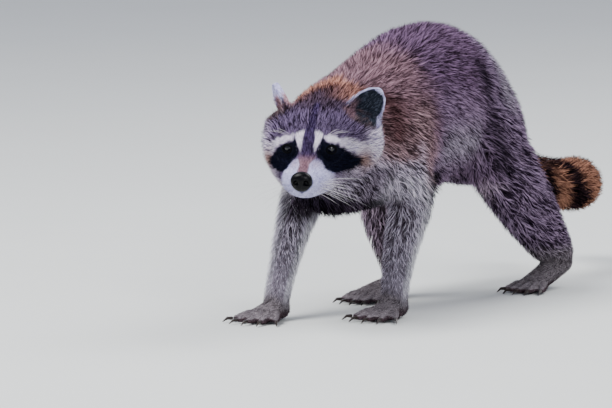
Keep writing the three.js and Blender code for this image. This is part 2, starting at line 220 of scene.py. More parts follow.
def eye_axes(sign):
    """An eye's centre, the way it looks, and the two ways across its almond opening, along it and over it."""
    centre = from_head(EYES_AT[sign])[0]
    gaze = head_way(np.array(EYE_FACES) * [sign, 1, 1])[0]
    across = unit(np.cross(head_way((0, 0.1, 1))[0], gaze))
    up = np.cross(gaze, across)
    slope = EYE_SLOPE * sign
    along = across * math.cos(slope) + up * math.sin(slope)
    over = up * math.cos(slope) - across * math.sin(slope)
    return centre, gaze, along, over


def almond(turn):
    """Degrees from the gaze to the lids' edge at each angle round it: an ellipse, a little deeper above."""
    tall = np.where(np.sin(turn) > 0, LID_ANGLES[1], LID_ANGLES[2])
    return 1 / np.sqrt((np.cos(turn) / LID_ANGLES[0]) ** 2 + (np.sin(turn) / tall) ** 2)


def eye_reach(points, sign):
    """Each point's distance from an eye's centre, its way from it, its degrees off the gaze, and those
    degrees in half openings of the lids."""
    centre, gaze, along, over = eye_axes(sign)
    ray = points - centre
    distance = np.linalg.norm(ray, axis=1)
    off = np.degrees(np.arccos(np.clip(ray @ gaze / np.maximum(distance, 1e-6), -1, 1)))
    return distance, unit(ray), off, off / almond(np.arctan2(ray @ over, ray @ along))


def line_rows(name):
    """A middle line's stations in the part frame, and its radius, coat depth and hair length there."""
    rows = np.array(LINES[name], float)
    placed = name in ("head", *EARS)
    at = from_head(rows[:, :3]) if placed else rows[:, :3] + BODY_TO_PART
    return at, rows[:, 3:]


def along_line(points, stations):
    """Distance from each point to a broken line, the place along it in stations, and its direction there."""
    distance = np.full(len(points), 1e9)
    place = np.zeros(len(points))
    way = np.zeros((len(points), 3))
    for i, (a, b) in enumerate(zip(stations[:-1], stations[1:])):
        step = b - a
        t = np.clip(((points - a) @ step) / (step @ step), 0, 1)
        d = np.linalg.norm(points - a - t[:, None] * step, axis=1)
        closer = d < distance
        distance = np.where(closer, d, distance)
        place = np.where(closer, i + t, place)
        way[closer] = step / np.linalg.norm(step)
    return distance, place, way


def line_shares(points):
    """How much each middle line rules each point: (radius over distance) to the sixth, made to add up
    to 1. Also the coat's depth, its length and the way its hairs lie, each mixed by those shares, with the
    hair shorter and lying outwards round the eyes."""
    shares = np.zeros((len(LINES), len(points)))
    depth, length = np.zeros(len(points)), np.zeros(len(points))
    lie = np.zeros((len(points), 3))
    for k, name in enumerate(LINES):
        stations, rows = line_rows(name)
        distance, place, way = along_line(points, stations)
        radius, deep, long = (np.interp(place, np.arange(len(rows)), rows[:, j]) for j in range(3))
        share = (radius / np.maximum(distance, 1.0)) ** 6
        shares[k] = share
        depth += share * deep
        length += share * long
        if name == "head":
            way = unit(points - from_head(MUZZLE_TIP))
            way = way + 0.25 * ease(-to_head(points)[2], -5, 40)[:, None] * DOWN
        elif name in ("trunk", "neck"):
            level = stations[np.clip(place.astype(int), 0, len(stations) - 1)]
            side = np.clip(np.abs(points[:, 0] - level[:, 0]) / 60, 0, 1)
            under = ease(level[:, 2] - points[:, 2], 20, 60)
            way = BACK + DOWN * (0.15 + 0.75 * side + 0.1 * under)[:, None]
        elif name in LIMBS:
            way = way + 0.35 * BACK
        lie += share[:, None] * unit(way)
    total = shares.sum(0)
    depth, length, lie = depth / total, length / total, lie / total[:, None]
    for sign in (1, -1):
        distance, way, _, _ = eye_reach(points, sign)
        depth = depth * (0.4 + 0.6 * ease(distance, 12, 26))
        length = length * (0.34 + 0.66 * ease(distance, 9, 24))
        lie = lie + 1.1 * (1 - ease(distance, 9, 19))[:, None] * way
    return shares / total, depth, length, lie


def share_of(shares, *names):
    """The shares of these middle lines added up."""
    return sum(shares[list(LINES).index(name)] for name in names)


def crown_share(f, u, head):
    """How much of each point is the crown: its share of the head, above the eyes and before the nape."""
    return ease(u, -2, 14) * ease(f, -110, -84) * head


def elbow_share(points, normals, width):
    """How much of each point is the hair that hangs behind an elbow, within about `width` lengthwise."""
    x, y, z = (points - BODY_TO_PART).T
    behind = near(y, 44, width) * ease(150 - z, 0, 10)
    return behind * ease(-normals[:, 2], 0.1, 0.5) * ease(np.abs(x), 10, 30)


def soft_max(a, b, blend):
    """The larger of two values with the corner rounded: half of a + b + sqrt((a - b) squared + blend)."""
    return 0.5 * (a + b + np.sqrt((a - b) ** 2 + blend))


def edges_mean(values, edges, count):
    """Each vertex's value replaced by the mean over its neighbours along the edges."""
    a, b = edges[:, 0], edges[:, 1]
    degree = np.bincount(a, minlength=count) + np.bincount(b, minlength=count)
    columns = values.reshape(count, -1)
    out = np.empty_like(columns)
    for c in range(columns.shape[1]):
        out[:, c] = (np.bincount(a, columns[b, c], count) + np.bincount(b, columns[a, c], count)) / degree
    return out.reshape(values.shape)


def corner_normals(vertices, triangles):
    """Vertex normals: the area-weighted mean of the normals of the triangles round each vertex."""
    p = vertices[triangles]
    cross = np.cross(p[:, 1] - p[:, 0], p[:, 2] - p[:, 0])
    out = np.zeros_like(vertices)
    for k in range(3):
        for c in range(3):
            out[:, c] += np.bincount(triangles[:, k], cross[:, c], len(vertices))
    return unit(out)


def grid_faces(rows, columns, offset=0, closed=True):
    """Two triangles for each cell of a grid of rows by columns, wrapping round the columns if closed."""
    i, j = np.meshgrid(np.arange(rows - 1), np.arange(columns if closed else columns - 1), indexing="ij")
    a = i * columns + j
    b = i * columns + (j + 1) % columns
    c, d = b + columns, a + columns
    cells = np.stack([a, b, c, a, c, d], -1).reshape(-1, 3)
    return cells + offset


def oriented(v, tris, outward):
    """Each triangle turned so that its normal agrees with the outward direction at its first corner."""
    n = np.cross(v[tris[:, 1]] - v[tris[:, 0]], v[tris[:, 2]] - v[tris[:, 0]])
    wrong = (n * outward[tris[:, 0]]).sum(1) < 0
    tris = tris.copy()
    tris[wrong] = tris[wrong][:, ::-1]
    return tris


def ball_grid(rows, columns):
    """A ball's rings as angles from its front pole and round it, and its triangles. The poles come after the
    rings, the front one first."""
    polar = np.linspace(0, math.pi, rows)[1:-1, None]
    angle = np.linspace(0, 2 * math.pi, columns, endpoint=False)[None, :]
    front_pole = (rows - 2) * columns
    last_ring = front_pole - columns
    here = np.arange(columns)
    following = (here + 1) % columns
    front_cap = np.stack([np.full(columns, front_pole), here, following], 1)
    back_cap = np.stack([np.full(columns, front_pole + 1), last_ring + following, last_ring + here], 1)
    return polar, angle, np.concatenate([grid_faces(rows - 2, columns), front_cap, back_cap])


def vertices_of(mesh):
    """A mesh's vertices in millimetres."""
    co = np.empty(len(mesh.vertices) * 3, np.float32)
    mesh.vertices.foreach_get("co", co)
    return co.reshape(-1, 3) * TO_MM


def triangles_of(mesh):
    """A mesh's triangles."""
    mesh.calc_loop_triangles()
    tris = np.empty(len(mesh.loop_triangles) * 3, np.int32)
    mesh.loop_triangles.foreach_get("vertices", tris)
    return tris.reshape(-1, 3)


def set_vertices(mesh, vertices):
    """Puts a mesh's vertices at these places in millimetres."""
    mesh.vertices.foreach_set("co", (vertices * TO_METRES).astype(np.float32).ravel())


def linked(name, data):
    """A new object of that data in the scene."""
    obj = bpy.data.objects.new(name, data)
    bpy.context.scene.collection.objects.link(obj)
    return obj


def applied(obj):
    """The mesh that an object's modifiers make of it. The object itself is taken away."""
    bpy.context.view_layer.update()
    made = bpy.data.meshes.new_from_object(obj.evaluated_get(bpy.context.evaluated_depsgraph_get()))
    bpy.data.objects.remove(obj)
    return made


def mesh_of(name, vertices, triangles, colours=None, values=None, uv=None):
    """A mesh made from whole arrays: vertices in millimetres, triangles, and what each vertex carries."""
    mesh = bpy.data.meshes.new(name)
    mesh.vertices.add(len(vertices))
    set_vertices(mesh, vertices)
    mesh.loops.add(triangles.size)
    mesh.loops.foreach_set("vertex_index", triangles.astype(np.int32).ravel())
    mesh.polygons.add(len(triangles))
    mesh.polygons.foreach_set("loop_start", np.arange(0, triangles.size, 3, dtype=np.int32))
    mesh.polygons.foreach_set("use_smooth", np.full(len(triangles), True))
    mesh.update(calc_edges=True)
    for key, rgb in (colours or {}).items():
        layer = mesh.attributes.new(key, "FLOAT_COLOR", "POINT")
        rgba = np.concatenate([rgb, np.ones((len(rgb), 1))], 1)
        layer.data.foreach_set("color", rgba.astype(np.float32).ravel())
    for key, value in (values or {}).items():
        layer = mesh.attributes.new(key, "FLOAT", "POINT")
        layer.data.foreach_set("value", value.astype(np.float32))
    if uv is not None:
        layer = mesh.uv_layers.new(name="OFBake")
        layer.data.foreach_set("uv", uv[triangles.ravel()].astype(np.float32).ravel())
    return mesh


def place(name, mesh, material, slot):
    """An object of that mesh at the origin, with its material, riding on the animal."""
    old = bpy.data.objects.get(name)
    if old is not None:
        bpy.data.objects.remove(old)
    obj = linked(name, mesh)
    obj.data.materials.append(material)
    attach(obj, "root")
    return obj


def linear(red, green, blue):
    """Screen colour numbers from 0 to 255 as linear light."""
    c = np.array([red, green, blue]) / 255
    return tuple(np.where(c <= 0.04045, c / 12.92, ((c + 0.055) / 1.055) ** 2.4))


# ---- settings a user would change -------------------------------------------

def tint(name, red, green, blue):
    """A colour setting, given as the numbers of a screen colour."""
    return bpy.props.FloatVectorProperty(name=name, description=f"{name}: colour of these hairs",
                                         default=linear(red, green, blue), subtype="COLOR",
                                         size=3, min=0, max=1)


class RaccoonColours(bpy.types.PropertyGroup):
    """The dark and the light hairs of each marking."""
    back_dark: tint("Back, dark", 46, 34, 46)
    back_light: tint("Back, light", 138, 110, 142)
    withers_dark: tint("Withers, dark", 58, 42, 48)
    withers_light: tint("Withers, light", 172, 136, 148)
    nape_dark: tint("Nape, dark", 66, 38, 36)
    nape_light: tint("Nape, light", 212, 152, 132)
    shoulder_dark: tint("Shoulder, dark", 68, 52, 56)
    shoulder_light: tint("Shoulder, light", 224, 184, 192)
    flank_dark: tint("Flank, dark", 54, 42, 56)
    flank_light: tint("Flank, light", 164, 136, 168)
    # Painted shade: dark hair laid in the fold before the thigh and on the chest between the forelegs.
    fold_shade_dark: tint("Painted shade in the folds, dark", 30, 24, 34)
    fold_shade_light: tint("Painted shade in the folds, light", 108, 90, 112)
    thigh_dark: tint("Thigh, dark", 30, 20, 34)
    thigh_light: tint("Thigh, light", 166, 142, 172)
    # Also laid on the lower flank as painted light.
    rump_and_lit_flank_dark: tint("Rump and painted light on the flank, dark", 50, 42, 50)
    rump_and_lit_flank_light: tint("Rump and painted light on the flank, light", 184, 172, 190)
    belly_dark: tint("Belly, dark", 70, 60, 68)
    belly_light: tint("Belly, light", 196, 172, 194)
    foreleg_dark: tint("Foreleg, dark", 78, 68, 78)
    foreleg_light: tint("Foreleg, light", 204, 194, 214)
    # Also laid as painted shade on the lower side of the muzzle, on the head's left.
    streak_and_shade_dark: tint("Neck side and painted muzzle shade, dark", 36, 28, 34)
    streak_and_shade_light: tint("Neck side and painted muzzle shade, light", 238, 222, 246)
    # Near-black: the dark throat hair, also laid as painted shadow under the head and chest, behind the
    # elbows, under the belly and on the right foreleg's front.
    throat_and_shadow_dark: tint("Throat and painted shadow, dark", 3, 3, 4)
    throat_and_shadow_light: tint("Throat and painted shadow, light", 24, 20, 22)
    dusk_dark: tint("Neck behind the ear, dark", 36, 22, 24)
    dusk_light: tint("Neck behind the ear, light", 128, 92, 96)
    forehead_dark: tint("Forehead, dark", 26, 20, 32)
    forehead_light: tint("Forehead, light", 132, 114, 150)
    crown_dark: tint("Crown between the ears, dark", 22, 16, 22)
    crown_light: tint("Crown between the ears, light", 96, 78, 96)
    stripe_dark: tint("Stripe, dark", 30, 22, 38)
    stripe_light: tint("Stripe, light", 96, 80, 122)
    white_dark: tint("White of the face, dark", 122, 114, 172)
    white_light: tint("White of the face, light", 222, 220, 255)
    brow_dark: tint("Brow and ruff, dark", 150, 138, 176)
    brow_light: tint("Brow and ruff, light", 255, 246, 255)
    mask_dark: tint("Mask, dark", 10, 11, 20)
    mask_light: tint("Mask, light", 32, 34, 54)
    bridge_dark: tint("Bridge of the nose, dark", 70, 48, 58)
    bridge_light: tint("Bridge of the nose, light", 166, 130, 142)
    tan_dark: tint("Cheek, dark", 84, 62, 60)
    tan_light: tint("Cheek, light", 196, 160, 152)
    earback_dark: tint("Ear, dark", 44, 32, 38)
    earback_light: tint("Ear, light", 112, 92, 100)
    eardeep_dark: tint("Inside of the ear, dark", 24, 28, 38)
    eardeep_light: tint("Inside of the ear, light", 74, 80, 94)
    earhair_dark: tint("Hair inside the ear, dark", 40, 30, 32)
    earhair_light: tint("Hair inside the ear, light", 112, 92, 94)
    earpink_dark: tint("Front of the ear, dark", 110, 78, 88)
    earpink_light: tint("Front of the ear, light", 214, 172, 180)
    pale_dark: tint("Pale edge of the foreleg, dark", 172, 168, 180)
    pale_light: tint("Pale edge of the foreleg, light", 246, 244, 252)
    paw_dark: tint("Paw, dark", 58, 50, 54)
    paw_light: tint("Paw, light", 176, 166, 172)
    tan_ring_dark: tint("Tail, light ring, dark", 70, 46, 40)
    tan_ring_light: tint("Tail, light ring, light", 168, 120, 98)
    dark_ring_dark: tint("Tail, dark ring, dark", 10, 7, 10)
    dark_ring_light: tint("Tail, dark ring, light", 54, 38, 42)


class RaccoonShape(bpy.types.PropertyGroup):
    """Sizes of the skin and of the coat."""
    voxel: bpy.props.FloatProperty(name="Skin detail", description="Size of the cells the skin is made of",
                                   default=0.0016, min=0.001, max=0.004, unit="LENGTH")
    fullness: bpy.props.FloatProperty(name="Fullness", description="How far the coat stands off the skin",
                                      default=1.0, min=0.5, max=1.3, subtype="FACTOR")
    thickness: bpy.props.FloatProperty(name="Thickness", description="Share of the tufts that are made",
                                       default=1.0, min=0.1, max=1.0, subtype="FACTOR")
    whisker: bpy.props.FloatProperty(name="Whisker length", description="Length of the longest whiskers",
                                     default=0.052, min=0.02, max=0.08, unit="LENGTH")


# Share of light hairs in each marking.
LIGHT_SHARE = {
    "back": 0.5, "withers": 0.5, "nape": 0.62, "shoulder": 0.34, "flank": 0.55, "fold_shade": 0.3,
    "thigh": 0.42, "rump_and_lit_flank": 0.55, "belly": 0.45, "foreleg": 0.5, "streak_and_shade": 0.47, "throat_and_shadow": 0.25,
    "dusk": 0.42, "forehead": 0.5, "crown": 0.4, "stripe": 0.35, "white": 0.75, "brow": 0.68,
    "mask": 0.3, "bridge": 0.5, "tan": 0.5, "earback": 0.4, "eardeep": 0.3, "earhair": 0.5,
    "earpink": 0.65, "pale": 0.7, "paw": 0.5, "tan_ring": 0.55, "dark_ring": 0.3,
}

# Face markings on the plane across the face: distance from the middle line, height above the eyes.
EYE_MASK = [(8.8, -1.3), (11.6, 5), (13.8, 10), (15.0, 12.5), (16.6, 7.4), (24.5, 6.2), (31.9, 3),
            (40.6, -0.6), (48.4, -4.6), (55, -8.6), (53.5, -14.5), (45, -19.7), (33, -22.4), (25, -22.4),
            (19.5, -18.4), (14.6, -11.2), (10, -6)]
INNER_BROW = [(5.1, 21), (10, 19.5), (14.4, 17.3), (13.3, 11.4), (9.6, 2.2), (7.4, -2.5), (6.7, 2.5),
              (6.0, 11)]
OUTER_BROW = [(16, 10), (15.6, 15.4), (25, 14.4), (38, 12.2), (48, 9.5), (58, 9), (63, 22), (70, 24),
              (80, 10), (80, -20), (64, -24), (60, -14), (57.3, -7), (53, -4.5), (45, -1.2), (35.7, 3.5),
              (25.5, 7.2)]
STRIPE = ((-8, 0, 12, 20, 30, 50), (8, 7, 6, 5, 3.6, 3.4))  # height above the eyes, half width
BRIDGE = ((-26, -14, -8, 2), (5.8, 5.4, 9, 8))  # height above the eyes, half width
DARK_RINGS = ((50, 11), (97, 12), (148, 17), (228, 14))  # place along the tail, half width

WHISKER_ROWS = 4
WHISKERS_IN_ROW = 4
WHISKER_ROOTS = [(sign * (11.5 + 2.2 * k), 40 - 3.6 * k, -25 - 2.6 * row)
                 for sign in (1, -1) for row in range(WHISKER_ROWS) for k in range(WHISKERS_IN_ROW)]


def polygon_reach(x, y, corners):
    """Distance from each point to the outline, positive inside: nearest edge, signed by crossing count."""
    corners = np.array(corners, float)
    distance = np.full(len(x), 1e9)
    inside = np.zeros(len(x), bool)
    for (ax, ay), (bx, by) in zip(corners, np.roll(corners, -1, 0)):
        t = np.clip(((x - ax) * (bx - ax) + (y - ay) * (by - ay)) / ((bx - ax) ** 2 + (by - ay) ** 2), 0, 1)
        distance = np.minimum(distance, np.hypot(x - ax - t * (bx - ax), y - ay - t * (by - ay)))
        crosses = (ay > y) != (by > y)
        at = ax + (y - ay) * (bx - ax) / np.where(by == ay, 1e-9, by - ay)
        inside ^= crosses & (x < at)
    return np.where(inside, distance, -distance)


def tail_length(points):
    """How far along the tail each point lies, in millimetres from its root."""
    stations, _ = line_rows("tail")
    _, along, _ = along_line(points, stations)
    run = np.concatenate([[0], np.cumsum(np.linalg.norm(np.diff(stations, axis=0), axis=1))])
    return np.interp(along, np.arange(len(run)), run)


def markings(points, normals, shares, colours):
    """Seven numbers for each point: the dark hair, the light hair and the share of light hairs.
    Each marking is laid over the last: value + mask * (marking - value). A mask is a product of edges,
    ease(place, start, end), and of bands, near(place, middle, width), a ripple making them wander."""
    out = np.zeros((len(points), 7))

    def lay(mask, name):
        dark, light = (np.array(getattr(colours, f"{name}_{kind}")) for kind in ("dark", "light"))
        value = np.concatenate([dark, light, [LIGHT_SHARE[name]]])
        out[:] = out + np.clip(mask, 0, 1)[:, None] * (value - out)

    wander = ripple(points, 42, 3) * 5
    fine = ripple(points, 9, 5) * 0.9
    trunk_markings(lay, points, wander)
    leg_markings(lay, points, normals, shares, wander)
    tail_markings(lay, points, normals, shares, wander)
    face_markings(lay, points, shares, fine)
    ear_markings(lay, points, normals, shares, fine)
    return out


def trunk_markings(lay, points, wander):
    """The back, then what lies over it on the shoulders, the sides, the belly, the thighs and the neck.
    Painted shade darkens the fold before the thigh, painted shadow the chest under the head, and a paler
    patch on the lower flank is painted light.
    """
    x, y, z = (points - BODY_TO_PART).T
    aside = np.abs(x)
    lay(np.ones(len(points)), "back")
    lay(ease(30 - y + wander, -15, 30), "withers")
    lay(ease(wander + 236 - z, -6, 26) * ease(y + wander, 18, 50), "flank")
    lay(ease(-y + wander, -22, 12) * ease(218 - z + wander, -10, 14), "shoulder")
    lay(ease(132 - z + wander, 0, 18) * ease(y, -10, 20), "belly")
    lay(ease(y + wander * 0.6, 138, 154) * ease(z, 0, 20), "thigh")
    lay(ease(y, 160, 186) * ease(z + wander, 186, 222), "rump_and_lit_flank")
    # Painted shade in the fold between the flank and the thigh.
    lay(near(y - 0.08 * (200 - z) + wander * 0.5, 136, 13) * ease(z, 120, 146) * ease(272 - z, 0, 30), "fold_shade")
    lay(ease(-y + wander, -6, 20) * ease(176 - z + wander, 0, 22), "streak_and_shade")
    # Dark throat hair, with painted shadow under the head and chest.
    lay(ease(-y + wander, 10, 30) * ease(142 - z - 0.25 * aside + wander * 0.5, 0, 12), "throat_and_shadow")
    lay(ease(-y + wander, 56, 70) * ease(z + wander, 210, 230), "nape")
    behind_ear = near(y, -44, 26) * ease(aside, 6, 36)
    lay(behind_ear * ease(z + wander, 166, 190) * ease(246 - z + wander, 0, 18), "dusk")
    # Painted light: the rump's paler hair laid on the lower flank, whose underside gets less light.
    lay(0.9 * near(z, 172, 22) * ease(y, 20, 50) * ease(128 - y, 0, 20), "rump_and_lit_flank")
    lay(0.4 * near(y, -36, 18) * near(z, 134, 18) * ease(aside, 20, 40), "pale")


def leg_markings(lay, points, normals, shares, wander):
    """The forelegs with their pale outer edges, painted shade between and behind them and on the right one's
    front, and the paws.
    """
    x, y, z = (points - BODY_TO_PART).T
    outward = normals @ np.array([0.84, 0.54, 0.0])
    ahead = normals @ np.array([0.5, -0.85, 0.0])
    forelegs = share_of(shares, *FORELEGS)
    right = share_of(shares, "foreleg_right")
    lay(forelegs * ease(150 - z + wander, 0, 20), "foreleg")
    lay(forelegs * ease(150 - z + wander, 0, 20) * ease(outward, 0.3, 0.85) * 0.8, "pale")
    # Painted shade on the right foreleg's front, under the chest.
    lay(right * ease(ahead, 0.1, 0.6) * ease(z, 94, 108) * 0.9, "throat_and_shadow")
    # Painted shade on the chest between the forelegs.
    lay(0.7 * near(y, -68, 20) * ease(166 - z, 0, 14) * ease(z, 96, 112) * ease(np.abs(x), 0, 20), "fold_shade")
    lay(right * ease(-outward, 0.55, 0.95) * ease(150 - z, 0, 20) * 0.75, "pale")
    # Painted shadow behind the elbow.
    lay(elbow_share(points, normals, 16), "throat_and_shadow")
    # Painted shadow on the belly behind the left foreleg.
    lay(near(y, 18, 15) * ease(148 - z, 0, 10) * ease(normals[:, 0], -0.2, 0.2), "throat_and_shadow")
    lay(share_of(shares, *HINDLEGS) * ease(54 - z, 0, 20), "paw")
    paws = share_of(shares, *PAWS)
    lay(paws, "paw")
    lay(paws * ease(0.55 - normals[:, 2], 0, 0.35) * ease(13 - z, 0, 5), "earback")


def tail_markings(lay, points, normals, shares, wander):
    """The tail light all along, with dark rings that slant, a dark ridge on top and a dark tip."""
    height = (points - BODY_TO_PART)[:, 2]
    run = tail_length(points)
    on_tail = ease(run, 22, 40) * share_of(shares, "tail")
    slant = run + np.interp(run, [50, 90], [0.3, 0.6]) * (height - 98) + wander * 0.15
    rings = sum(near(slant, at, wide) for at, wide in DARK_RINGS)
    lay(on_tail, "tan_ring")
    lay(on_tail * ease(rings, 0.4, 0.6), "dark_ring")
    lay(on_tail * ease(normals[:, 2], 0.6, 0.9) * ease(152 - run, 0, 20), "dark_ring")
    lay(on_tail * ease(run, 268, 280), "dark_ring")


def face_markings(lay, points, shares, fine):
    """The face, drawn on a plane across it: p is the distance from the middle line and q the height above
    the eyes. Past the right eye p counts up to 9 more, which draws the markings in there."""
    l, f, u = to_head(points)
    p = np.abs(l) + 9 * ease(-l, 22, 44)
    q = u * math.cos(FACE_TILT) - f * math.sin(FACE_TILT)
    on_head = share_of(shares, "head", *EARS)
    front = np.maximum(on_head * ease(f, -96, -86), ease(f, -92, -80) * ease(u, -38, -26))
    lay(front, "forehead")
    lay(front * ease(q + fine, 36, 48) * 0.85, "crown")
    lay(front * ease(-q + fine, 6, 16) * ease(p, 30, 44), "streak_and_shade")
    # Dark throat hair under the jaw, with painted shade under the head.
    lay(front * ease(-u, 36, 46) * ease(24 - f, 0, 14), "throat_and_shadow")
    pad = ease(f, -8, 4) * ease(-q + fine * 0.4, 8.5, 11) * ease(30 + 0.3 * ease(l, -5, 5) - l, 0, 5)
    lay(front * pad * ease(l + 24, -1, 3), "white")
    # Painted shade: the lower side of the muzzle on the head's left, greyed with the streaks' colour.
    lay(front * near(l, 27, 9) * near(u, -35, 9) * 0.75, "streak_and_shade")
    lay(front * pad * near(p, 11, 6) * near(q, -14, 5) * 0.45, "bridge")
    lay(front * ease(polygon_reach(p, q + fine, OUTER_BROW), -2.4, 1.8), "brow")
    lay(front * ease(p, 50, 60) * 0.4, "streak_and_shade")
    lay(front * near(p, 57, 7) * near(q, -10, 11), "tan")
    lay(front * ease(polygon_reach(p, q, INNER_BROW), -0.7, 0.7), "brow")
    middle = l - np.interp(q, [0, 50], [0, 2.0])
    stripe = np.interp(q, *STRIPE) - np.abs(middle) + fine * 0.3
    lay(front * ease(stripe, -0.9, 0.9) * ease(q, -14, -6), "stripe")
    bridge = np.interp(q, *BRIDGE) - np.abs(l)
    lay(front * ease(bridge, -1.2, 1.2) * ease(-q, 2, 12) * ease(u, -30, -20), "bridge")
    lay(front * ease(polygon_reach(p, q + fine * 0.6, EYE_MASK), -0.8, 0.8) * ease(f, -58, -50), "mask")
    pores = from_head(WHISKER_ROOTS)
    apart = np.min([np.linalg.norm(points - pore, axis=1) for pore in pores], 0)
    lay(front * near(apart, 0, 0.8) * 0.7, "bridge")
    no_ear = 1 - np.clip(share_of(shares, *EARS), 0, 1)
    lay(ease(-f, 62, 74) * ease(f, -122, -104) * near(l, -2, 32) * ease(u, 12, 22) * no_ear, "crown")


def ear_markings(lay, points, normals, shares, fine):
    """Each ear: its back, its dark hollow, the hair at its root and its white rim. The right one shows its
    front edge, which is pink below and white above."""
    for name, faces in EAR_FACES.items():
        across, _, up, reach = ear_reach(points, name)
        toward = normals @ head_way(faces)[0]
        on_ear = ease(up, -2, 4) * ease(share_of(shares, name), 0.45, 0.75)
        lay(on_ear, "earback")
        lay(on_ear * ease(toward, 0.1, 0.5), "eardeep")
        if name == "ear_right":
            lay(on_ear * ease(up, 5, 13), "earpink")
            lay(on_ear * ease(up, 19, 25), "white")
        lay(on_ear * ease(toward, 0.1, 0.4) * ease(13 - up + fine * 2, 0, 8), "earhair")
        lay(on_ear * ear_rim(across, up, reach), "white")
        lay(on_ear * ease(across, 6, 11) * ease(24 - up, 0, 12) * ease(toward, -0.6, 0) * 0.8, "bridge")


def ear_reach(points, name):
    """Ear coordinates of each point, across the ear, out of its hollow and up from its root, and the
    height of the ear's tip in them."""
    stations, _ = line_rows(name)
    root, tip = stations[0], stations[-1]
    up = unit(tip - root)
    faces = head_way(EAR_FACES[name])[0]
    front = unit(faces - up * (faces @ up))
    side = np.cross(front, up)
    q = points - root
    return q @ side, q @ front, q @ up, 1.04 * np.linalg.norm(tip - root)


def ear_rim(across, up, reach):
    """1 along the edge of the ear's outline, where its distance across reaches its width at that height,
    and over its tip."""
    share = np.clip(up / reach, 0, 1)
    width = EAR_WIDE * np.sqrt(1 - share ** 2.1) * (0.94 + 0.16 * np.sin(share * math.pi)) + 2.4
    edge = ease(np.abs(across) - width, -3.4, -1.6) * ease(up, 6, 14)
    return np.maximum(edge, ease(up, reach - 4.0, reach - 2.2))


# ---- the skin ---------------------------------------------------------------

STATE = {}  # the skin's arrays, and the coat piece of each of its triangles, kept for the coat's operator


def solid_arrays(name):
    """A solid's vertices in millimetres with the doubles merged, and its triangles."""
    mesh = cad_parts[name].data
    places = vertices_of(mesh)
    _, first, back = np.unique(np.round(places, 2), axis=0, return_index=True, return_inverse=True)
    tris = back.ravel()[triangles_of(mesh)]
    good = (tris[:, 0] != tris[:, 1]) & (tris[:, 1] != tris[:, 2]) & (tris[:, 0] != tris[:, 2])
    return places[first].astype(float), tris[good]


def fused_flesh(voxel):
    """The flesh solids grown a little so that they merge, remade as one closed surface of even cells."""
    vertices, triangles, count = [], [], 0
    for name in FLESH:
        v, t = solid_arrays(name)
        vertices.append(v + corner_normals(v, t) * FLESH_GROWTH)
        triangles.append(t + count)
        count += len(v)
    obj = linked("flesh", mesh_of("flesh", np.concatenate(vertices), np.concatenate(triangles)))
    remesh = obj.modifiers.new("even cells", "REMESH")
    remesh.mode = "VOXEL"
    remesh.voxel_size = voxel
    return applied(obj)


def mesh_arrays(mesh):
    """A mesh's vertices in millimetres, its edges and its triangles."""
    edges = np.empty(len(mesh.edges) * 2, np.int32)
    mesh.edges.foreach_get("vertices", edges)
    return vertices_of(mesh), edges.reshape(-1, 2), triangles_of(mesh)


def smoothed(vertices, edges, amount, rounds):
    """Each round moves a vertex towards the mean of its neighbours, then a little back, so nothing
    shrinks."""
    for _ in range(rounds):
        for step in (0.6, -0.56):
            mean = edges_mean(vertices, edges, len(vertices))
            vertices = vertices + (amount * step)[:, None] * (mean - vertices)
    return vertices


def sockets_filled(v, edges):
    """The eye sockets closed by a film: each point in them is set again and again to its neighbours'
    mean."""
    v = v.copy()
    for sign in (1, -1):
        inside = eye_reach(v, sign)[0] < SOCKET
        touching = edges[inside[edges].any(1)]
        members, local = np.unique(touching, return_inverse=True)
        part, free, local = v[members], inside[members], local.reshape(-1, 2)
        for _ in range(500):
            part[free] = edges_mean(part, local, len(members))[free]
        v[members] = part
    return v


def sculpted_face(v, normals):
    """Forms under the short hair of the face, each a bell-shaped push along the normal, then the skin
    round the eyes."""
    l, f, u = to_head(v)
    p = np.abs(l)
    push = np.zeros(len(v))
    push += 1.6 * near(p, 11, 7) * near(f, 36, 9) * near(u, -30, 6)        # whisker pads
    push -= 1.5 * near(l, 0, 1.5) * near(u, -31, 5) * ease(f, 34, 42)      # groove under the nose
    mouth = -36 + 0.08 * np.clip(f - 9, 0, 30) + 1.4 * near(p, 0, 6) * ease(f, 36, 44)
    push -= 0.9 * near(u, mouth, 1.0) * ease(f, 4, 9)                      # line of the mouth
    push += 1.2 * near(p, 21, 9) * near(u, 9, 4.5) * ease(f, -34, -22)     # brow
    push -= 1.4 * near(p, 9.5, 4) * near(u, -5, 6) * near(f, -2, 9)        # hollow at the inner corner
    push += 1.3 * near(p, 27, 7) * near(u, -18, 5) * near(f, -10, 10)      # cheekbone
    v = v + normals * push[:, None]
    for sign in (1, -1):
        v = opened_eye(raised_orbit(v, sign), sign)
    return v


def raised_orbit(v, sign):
    """The skin round one eye brought forward along its gaze to ORBIT_HEIGHT less a square of the distance
    aside, so that the ball lies in it and doesn't stand out."""
    centre, gaze, _, _ = eye_axes(sign)
    ray = v - centre
    height = ray @ gaze
    aside = np.linalg.norm(ray - height[:, None] * gaze, axis=1)
    orbit = ORBIT_HEIGHT - ORBIT_FALL * np.maximum(aside - 6, 0) ** 2
    raised = soft_max(height, orbit, 2.0) - height
    return v + gaze * (raised * (1 - ease(aside, 13, 18)) * ease(height, -16, -10))[:, None]


def opened_eye(v, sign):
    """The skin kept off one eyeball, and drawn in behind it within the opening of the lids."""
    centre = eye_axes(sign)[0]
    distance, way, off, openings = eye_reach(v, sign)
    over = soft_max(distance, EYE_RADIUS + 0.5, 0.8)
    hold = (1 - ease(off, 50, 75)) * (distance < 18)
    distance = distance + hold * (over - distance)
    sink = (1 - ease(openings, 1.12, 1.35)) * (distance < 14)
    distance = distance + sink * (EYE_RADIUS - 2.5 - distance)
    return np.where((hold > 0)[:, None], centre + way * distance[:, None], v)


